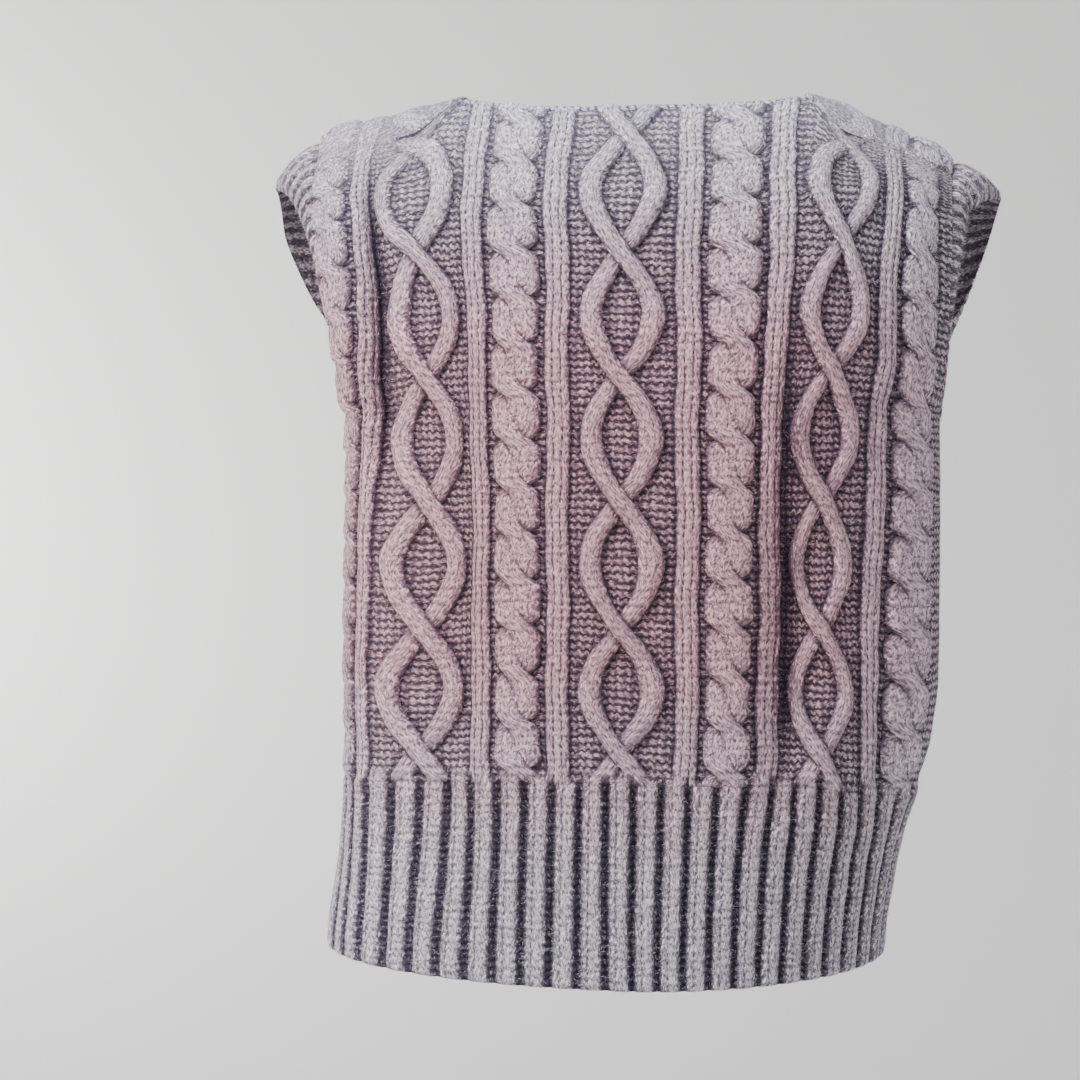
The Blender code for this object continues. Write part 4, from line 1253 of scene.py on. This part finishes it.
def knit_stitch(m, lane, v, parting):
    """Knit stitches on whole-numbered lanes, shade painted between legs and wales. parting: how clearly wales
    part. 1 on a leg.
    """
    across = 2 * m.abs(m.fract(lane + 0.5) - 0.5)
    leg = m.sin(pi * m.fract(v + 0.4 * across)) ** 0.5
    dash = 0.66 + 0.34 * m.sin(2 * pi * v + 1.2)
    groove = m.minimum(across ** 3 * parting * dash, 0.94)
    valley = (1 - across) ** 3 * 0.12
    return (0.52 + 0.48 * leg) * (1 - groove) * (1 - valley)


def purl_stitch(shader, u, v):
    """Rows of purl bumps that wave across the wales, with painted shade between them. 1 on a bump."""
    m = ShaderMaths
    drift = shader.noise(u * 0.8, v * 0.8, 3.1, 2.0, 0.7) - 0.5
    row = m.fract(v + (0.11 + 0.30 * drift) * m.sin(2 * pi * (u + 0.9 * drift)) + 0.9 * drift)
    bumps = limited(m, 0.74 + 0.26 * m.sin(2 * pi * u + 1.5) + 0.9 * drift)
    return m.sin(pi * row) ** 1.7 * bumps


def fibre_texture(shader, x, y):
    """Fibres of the yarn and the pale ones among them, y along the yarn."""
    m = ShaderMaths
    grain = shader.noise(x * 4.0 + y * 0.8, y * 1.5, 0.0, 2.0, 0.8)
    pale = shader.noise(x * 3.6 - y * 0.7, y * 1.2, 7.3, 1.0, 0.6)
    return limited(m, (grain - 0.36) / 0.28), limited(m, (pale - 0.575) * 16)


def ribbed_shade(shader, lane, far, half, v, u):
    """Shade and height of ribs parted by purl grooves. far: distance from the nearest rib's centre."""
    m = ShaderMaths
    raised = far < half
    near = far / half
    stitch = knit_stitch(m, lane, v, 0.95)
    purl = purl_stitch(shader, u, v)
    # painted shade towards each rib's sides and in the purl grooves between ribs
    rib = (0.15 + 0.84 * stitch) * (1 - 0.82 * m.minimum(near, 1) ** 3)
    groove = (0.04 + 0.22 * purl) * m.exp(m.maximum(near - 1, 0) * -1.2)
    return raised * rib + (1 - raised) * groove, raised * stitch + (1 - raised) * purl * 0.5


def hem_shade(shader, u, v):
    """The hem's ribs: two wales each."""
    m = ShaderMaths
    turn = u * (WALE / HEM_PITCH)
    off = turn - m.round(turn)
    return ribbed_shade(shader, off * 2.05 + 0.25, m.abs(off), 0.39, v, u)


HEM_FROM, HEM_OVER = 86.6, 1.6    # row where the hem's ribs take over, and how softly
SEAM_OUT, SEAM_FADE = 26.0, 1.8   # wales to the middle of the painted shade in the back's seam slits, and how softly it ends
SEAM_REACH = 2.3                  # half their length, in fades
SEAM_ROW = 0.7                    # row down to which they are darkest
SLIT_PAINTED_SHADE = 0.88                  # strength of the painted shade in seam slits and in creases, and how far the felt hides the stitches
CREASE_PAINTED_SHADE = 0.80
FELT_COVER = 0.70


def cable_yarn(name, yarn, hand):
    """Yarn of a panel's outside: twists, ropes and ribs on purl ground, with the hem's ribs below."""
    shader, m = YarnShader(name), ShaderMaths
    u, v = shader.knitted()
    twist, rope, rib = twist_strands(m, u, v, hand), rope_strands(m, u, v, hand), rib_offset(m, u)
    on_twist = m.abs(u) < TWISTS_END

    twist_over = (twist.over < 1) * (twist.past < 0) * on_twist
    twist_under = (twist.under < 1) * (1 - twist_over) * on_twist
    rope_over = (rope.over < 1) * (rope.past < 0)
    rope_under = (rope.under < 1) * (1 - rope_over)
    on_rib = rib < 1
    raised = twist_over + twist_under + rope_over + rope_under + on_rib
    masks = (twist_over, twist_under, rope_over, rope_under, on_rib)

    def on_each(*values):
        """Each value where its own strand or rib lies."""
        total = masks[0] * values[0]
        for mask, value in zip(masks[1:], values[1:]):
            total = total + mask * value
        return total

    lane = STRAND_HALF * on_each(twist.lean_over, twist.lean_under, rope.lean_over, rope.lean_under, rib)
    edge = on_each(twist.over, twist.under, rope.over, rope.under, rib)
    parting = 0.55 * (twist_over + twist_under) + 0.50 * (rope_over + rope_under) + 1.25 * on_rib
    fibre = lane * (1 - on_rib) + on_rib * u + 5 * (twist_under + rope_under) + (1 - raised) * u * 0.75
    grain, flecks = fibre_texture(shader, fibre, v + (1 - raised) * v * 1.6)

    gap_twist = (m.minimum(twist.over, twist.under) - 1) * STRAND_HALF + 9 * (1 - on_twist)
    gap_rope = (m.minimum(rope.over, rope.under) - 1) * ROPE_HALF
    gap = m.minimum(m.minimum(gap_twist, gap_rope), (rib - 1) * STRAND_HALF)

    # painted shade on under strands where they pass beneath the upper ones
    painted_tuck_shade = twist_under * m.exp(twist.past * -3.0)
    painted_tuck_shade = painted_tuck_shade + rope_under * m.exp(rope.past * -3.6) * (0.40 + 0.60 * rope.near)
    stitch = knit_stitch(m, lane, v, parting)
    # painted shade towards the sides of strands and ribs
    strand_shade = (0.16 + 0.82 * stitch) * (1 - 0.66 * edge ** 4) * (1 - 0.82 * m.minimum(painted_tuck_shade, 1))

    purl = purl_stitch(shader, u, v)
    # painted shade on the ground beside raised strands and ribs
    painted_occlusion = m.exp(m.maximum(gap, 0) * -1.3)
    ground_shade = (0.11 + 1.06 * purl) * (1 - 0.80 * painted_occlusion)

    ribs, rib_height = hem_shade(shader, u, v)
    into_hem = limited(m, (v - HEM_FROM + rib_lead(m, u)) / HEM_OVER)
    cap = felted_cap(m, u, v) * (hand < 0)
    drawn = raised * strand_shade * (1 + 0.10 * on_rib) + (1 - raised) * ground_shade
    # painted shade in the creases beside the back's outer twists
    drawn = drawn * (1 - painted_crease_shade(m, u, v) * (CREASE_PAINTED_SHADE * (hand < 0)))
    drawn = drawn * (1 - FELT_COVER * cap) + (0.50 + 0.30 * purl) * FELT_COVER * cap
    # painted shade in the slits of the back's shoulder seams
    seam = limited(m, SEAM_REACH - m.abs(m.abs(u) - SEAM_OUT) / SEAM_FADE)
    seam = m.exp(m.maximum(v - SEAM_ROW, 0) * -1.3) * seam * (SLIT_PAINTED_SHADE * (hand < 0))
    shade = drawn * (1 - into_hem) + ribs * into_hem
    height = raised * (stitch * 0.9 + 0.3) + (1 - raised) * purl * 1.1
    height = height * (1 - into_hem) + rib_height * into_hem
    felted = limited(m, (v + 8) / -8) * FELT_COVER
    shade = shade * (1 - felted) + (0.60 + 0.35 * purl) * felted
    return shader.finish(yarn, shade, height, grain, flecks, seam)


def hem_yarn(name, yarn):
    """Yarn of the hem's outside."""
    shader = YarnShader(name)
    u, v = shader.knitted()
    grain, flecks = fibre_texture(shader, u, v)
    shade, height = hem_shade(shader, u, v)
    return shader.finish(yarn, shade, height, grain, flecks)


def lining_yarn(name, yarn):
    """Yarn of a wall's inside: plain knit wales."""
    shader = YarnShader(name)
    u, v = shader.knitted()
    grain, flecks = fibre_texture(shader, u, v)
    stitch = knit_stitch(ShaderMaths, u, v, 0.6)
    return shader.finish(yarn, 0.20 + 0.55 * stitch, stitch, grain, flecks * 0.5)


def band_yarn(name, yarn):
    """Yarn of an armhole band: a wale on each rib, a purl groove between."""
    shader, m = YarnShader(name), ShaderMaths
    u, v = shader.knitted()
    grain, flecks = fibre_texture(shader, u * 1.8, v)
    shade, height = ribbed_shade(shader, u * 2, m.abs(u - m.round(u)), 0.33, v, u * 2)
    return shader.finish(yarn, shade * 0.62 + 0.20, height * 0.7, grain, flecks)


def edge_yarn(name, yarn):
    """Yarn of the bound-off neck edge: a chain of slanted loops."""
    shader, m = YarnShader(name), ShaderMaths
    u, v = shader.knitted()
    grain, flecks = fibre_texture(shader, v, u)
    loop = m.sin(pi * m.fract(u + 0.35 * v)) ** 0.8
    return shader.finish(yarn, 0.22 + 0.62 * loop, loop, grain, flecks)


def nap_yarn(name, yarn):
    """Yarn of the loose fibre ends: some dark, most pale."""
    shader, m = YarnShader(name), ShaderMaths
    place = shader.place()
    tone = shader.noise(*(value * 260 for value in place), 0.0)
    colour = shader.blend(limited(m, (tone - 0.30) / 0.25), yarn.body, yarn.fleck)
    return shader.surfaced(Base_Color=shader.with_painted_warm_light(yarn, colour, place), Roughness=0.9)


# ---- operators ----

def vest():
    scene = bpy.context.scene
    return scene.vest_knit, scene.vest_yarn


def dressed(piece, node):
    """The piece stands for its CAD node and rides with it."""
    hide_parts(node)
    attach(piece, BODY)


class VEST_OT_panels(bpy.types.Operator):
    """Knit the back and front panels"""

    bl_idname = "vest.panels"
    bl_label = "Panels"

    def execute(self, context):
        knit, yarn = vest()
        lining = lining_yarn("panel_lining", yarn)
        back = make_back_panel(knit, [cable_yarn("back_cables", yarn, -1), lining])
        front = make_front_panel(knit, [cable_yarn("front_cables", yarn, 1), lining])
        dressed(back, "back_panel")
        dressed(front, "front_panel")
        return {"FINISHED"}


class VEST_OT_hem_ribs(bpy.types.Operator):
    """Knit the deep ribs of the hem, back and front"""

    bl_idname = "vest.hem_ribs"
    bl_label = "Hem ribs"

    def execute(self, context):
        knit, yarn = vest()
        yarns = [hem_yarn("hem_ribs", yarn), lining_yarn("hem_lining", yarn)]
        for name, point, face in (("back_hem_rib", back_point, BACK), ("front_hem_rib", front_point, FRONT)):
            piece = make_hem_rib(f"{name}_knit", point, face, knit, yarns)
            dressed(piece, name)
        return {"FINISHED"}


class VEST_OT_armhole_bands(bpy.types.Operator):
    """Knit the ribbed bands round both armholes"""

    bl_idname = "vest.armhole_bands"
    bl_label = "Armhole bands"

    def execute(self, context):
        knit, yarn = vest()
        yarns = [band_yarn("band_ribs", yarn), band_yarn("band_lining", yarn)]
        for name, side in (("left_armhole_band", 1), ("right_armhole_band", -1)):
            piece = make_armhole_band(f"{name}_knit", side, knit, yarns)
            dressed(piece, name)
        return {"FINISHED"}


class VEST_OT_neck_edge(bpy.types.Operator):
    """Bind off the edge round the neck"""

    bl_idname = "vest.neck_edge"
    bl_label = "Neck edge"

    def execute(self, context):
        knit, yarn = vest()
        piece = make_neck_edge(knit, [edge_yarn("neck_bind_off", yarn)])
        dressed(piece, "neck_edge")
        return {"FINISHED"}


class VEST_OT_nap(bpy.types.Operator):
    """Raise the nap on panels, hems and armhole bands"""

    bl_idname = "vest.nap"
    bl_label = "Nap"

    def execute(self, context):
        nap, yarn = context.scene.vest_nap, nap_yarn("fibre_ends", context.scene.vest_yarn)
        for node, ends in (
            ("back_panel", nap.panel_ends), ("front_panel", nap.panel_ends),
            ("back_hem_rib", nap.hem_ends), ("front_hem_rib", nap.hem_ends),
            ("left_armhole_band", nap.band_ends), ("right_armhole_band", nap.band_ends),
        ):
            piece = make_nap(f"{node}_nap", bpy.data.objects[f"{node}_knit"], ends, nap, yarn)
            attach(piece, BODY)
        return {"FINISHED"}


MIDDLE = (0.02, 0.0, -0.28)


class VEST_OT_stage(bpy.types.Operator):
    """Set the plain floor and backdrop, the soft lights and the camera"""

    bl_idname = "vest.stage"
    bl_label = "Stage"

    def execute(self, context):
        stage = context.scene.vest_stage
        add_backdrop(stage)
        for name, place, look_at, size, power, colour in (
            ("key_light", (1.60, 1.35, 1.05), MIDDLE, 0.7, stage.key, (1.0, 0.985, 0.97)),
            ("fill_light", (-2.3, 1.15, 0.2), MIDDLE, 1.4, stage.fill, (0.86, 0.93, 1.0)),
            ("top_light", (0.12, 0.48, 0.66), (0.0, 0.05, -0.05), 0.7, stage.top, (0.78, 0.88, 1.0)),
            ("wall_light", (2.7, -1.4, 0.5), (2.0, -3.7, -0.5), 1.0, stage.wall, (1.0, 1.0, 0.99)),
        ):
            light = bpy.data.lights.new(name, "AREA")
            light.shape = "DISK"
            light.size, light.energy, light.color = size, power, colour
            lamp = placed(name, light)
            lamp.location = place
            lamp.rotation_euler = (Vector(look_at) - Vector(place)).to_track_quat("-Z", "Y").to_euler()
            lamp.visible_camera = False
        world = bpy.data.worlds.new("studio")
        world.use_nodes = True
        surround = world.node_tree.nodes["Background"]
        surround.inputs["Color"].default_value = (0.94, 0.96, 1.0, 1.0)
        surround.inputs["Strength"].default_value = stage.sky
        context.scene.world = world
        add_camera(context.scene)
        return {"FINISHED"}


def add_backdrop(stage):
    """A round floor that curves up into a low wall on all sides."""
    flat, bend, wall, around = 1.2, 3.0, 0.3, 96
    profile = [(0.02, 0.0), (flat, 0.0)]
    profile += [(flat + bend * np.sin(a), bend * (1 - np.cos(a))) for a in np.linspace(0.1, pi / 2, 16)]
    profile.append((flat + bend, bend + wall))
    turns = np.linspace(0, 2 * pi, around, endpoint=False)
    points = [(r * np.cos(a), r * np.sin(a), stage.floor_level + z) for r, z in profile for a in turns]
    faces = [tuple(range(around))]
    for ring in range(len(profile) - 1):
        for k in range(around):
            n = (k + 1) % around
            low, high = ring * around, (ring + 1) * around
            faces.append((low + k, high + k, high + n, low + n))
    mesh = bpy.data.meshes.new("floor")
    mesh.from_pydata(points, [], faces)
    mesh.shade_smooth()
    floor = placed("floor", mesh)
    paint = bpy.data.materials.new("floor_paint")
    paint.use_nodes = True
    paint.node_tree.nodes["Principled BSDF"].inputs["Base Color"].default_value = (*stage.floor, 1.0)
    paint.node_tree.nodes["Principled BSDF"].inputs["Roughness"].default_value = 0.9
    mesh.materials.append(paint)


def add_camera(scene):
    """The camera stands behind the vest, at half its height and a little to the wearer's right."""
    camera = bpy.data.cameras.new("view")
    camera.lens = 61.0
    camera.sensor_width = 36.0
    camera.clip_end = 60.0
    viewer = placed("view", camera)
    turn, aside, away = radians(5.5), radians(3.065), 1.29
    viewer.location = (-away * np.sin(turn), away * np.cos(turn), -0.3123)
    heading = Vector((np.sin(turn + aside), -np.cos(turn + aside), 0.0))
    viewer.rotation_euler = heading.to_track_quat("-Z", "Y").to_euler()
    scene.camera = viewer


class VEST_PT_sidebar(bpy.types.Panel):
    """The vest's pieces, sizes and colours"""

    bl_idname = "VEST_PT_sidebar"
    bl_label = "Cable Knit Vest"
    bl_space_type = "VIEW_3D"
    bl_region_type = "UI"
    bl_category = "Vest"

    def draw(self, context):
        scene = context.scene
        for group in (scene.vest_knit, scene.vest_yarn, scene.vest_nap, scene.vest_stage):
            box = self.layout.box()
            for name in group.bl_rna.properties.keys():
                if name not in ("rna_type", "name"):
                    box.prop(group, name)
        for operator in OPERATORS:
            self.layout.operator(operator.bl_idname)


GROUPS = (("vest_knit", VestKnit), ("vest_yarn", VestYarn), ("vest_nap", VestNap), ("vest_stage", VestStage))
OPERATORS = (
    VEST_OT_panels, VEST_OT_hem_ribs, VEST_OT_armhole_bands, VEST_OT_neck_edge, VEST_OT_nap, VEST_OT_stage)


def register():
    for name, group in GROUPS:
        bpy.utils.register_class(group)
        setattr(bpy.types.Scene, name, PointerProperty(type=group))
    for operator in OPERATORS:
        bpy.utils.register_class(operator)
    bpy.utils.register_class(VEST_PT_sidebar)


def unregister():
    bpy.utils.unregister_class(VEST_PT_sidebar)
    for operator in reversed(OPERATORS):
        bpy.utils.unregister_class(operator)
    for name, group in reversed(GROUPS):
        delattr(bpy.types.Scene, name)
        bpy.utils.unregister_class(group)


def main():
    register()
    bpy.ops.vest.panels()
    bpy.ops.vest.hem_ribs()
    bpy.ops.vest.armhole_bands()
    bpy.ops.vest.neck_edge()
    bpy.ops.vest.nap()
    bpy.ops.vest.stage()


if __name__ == "__main__":
    main()
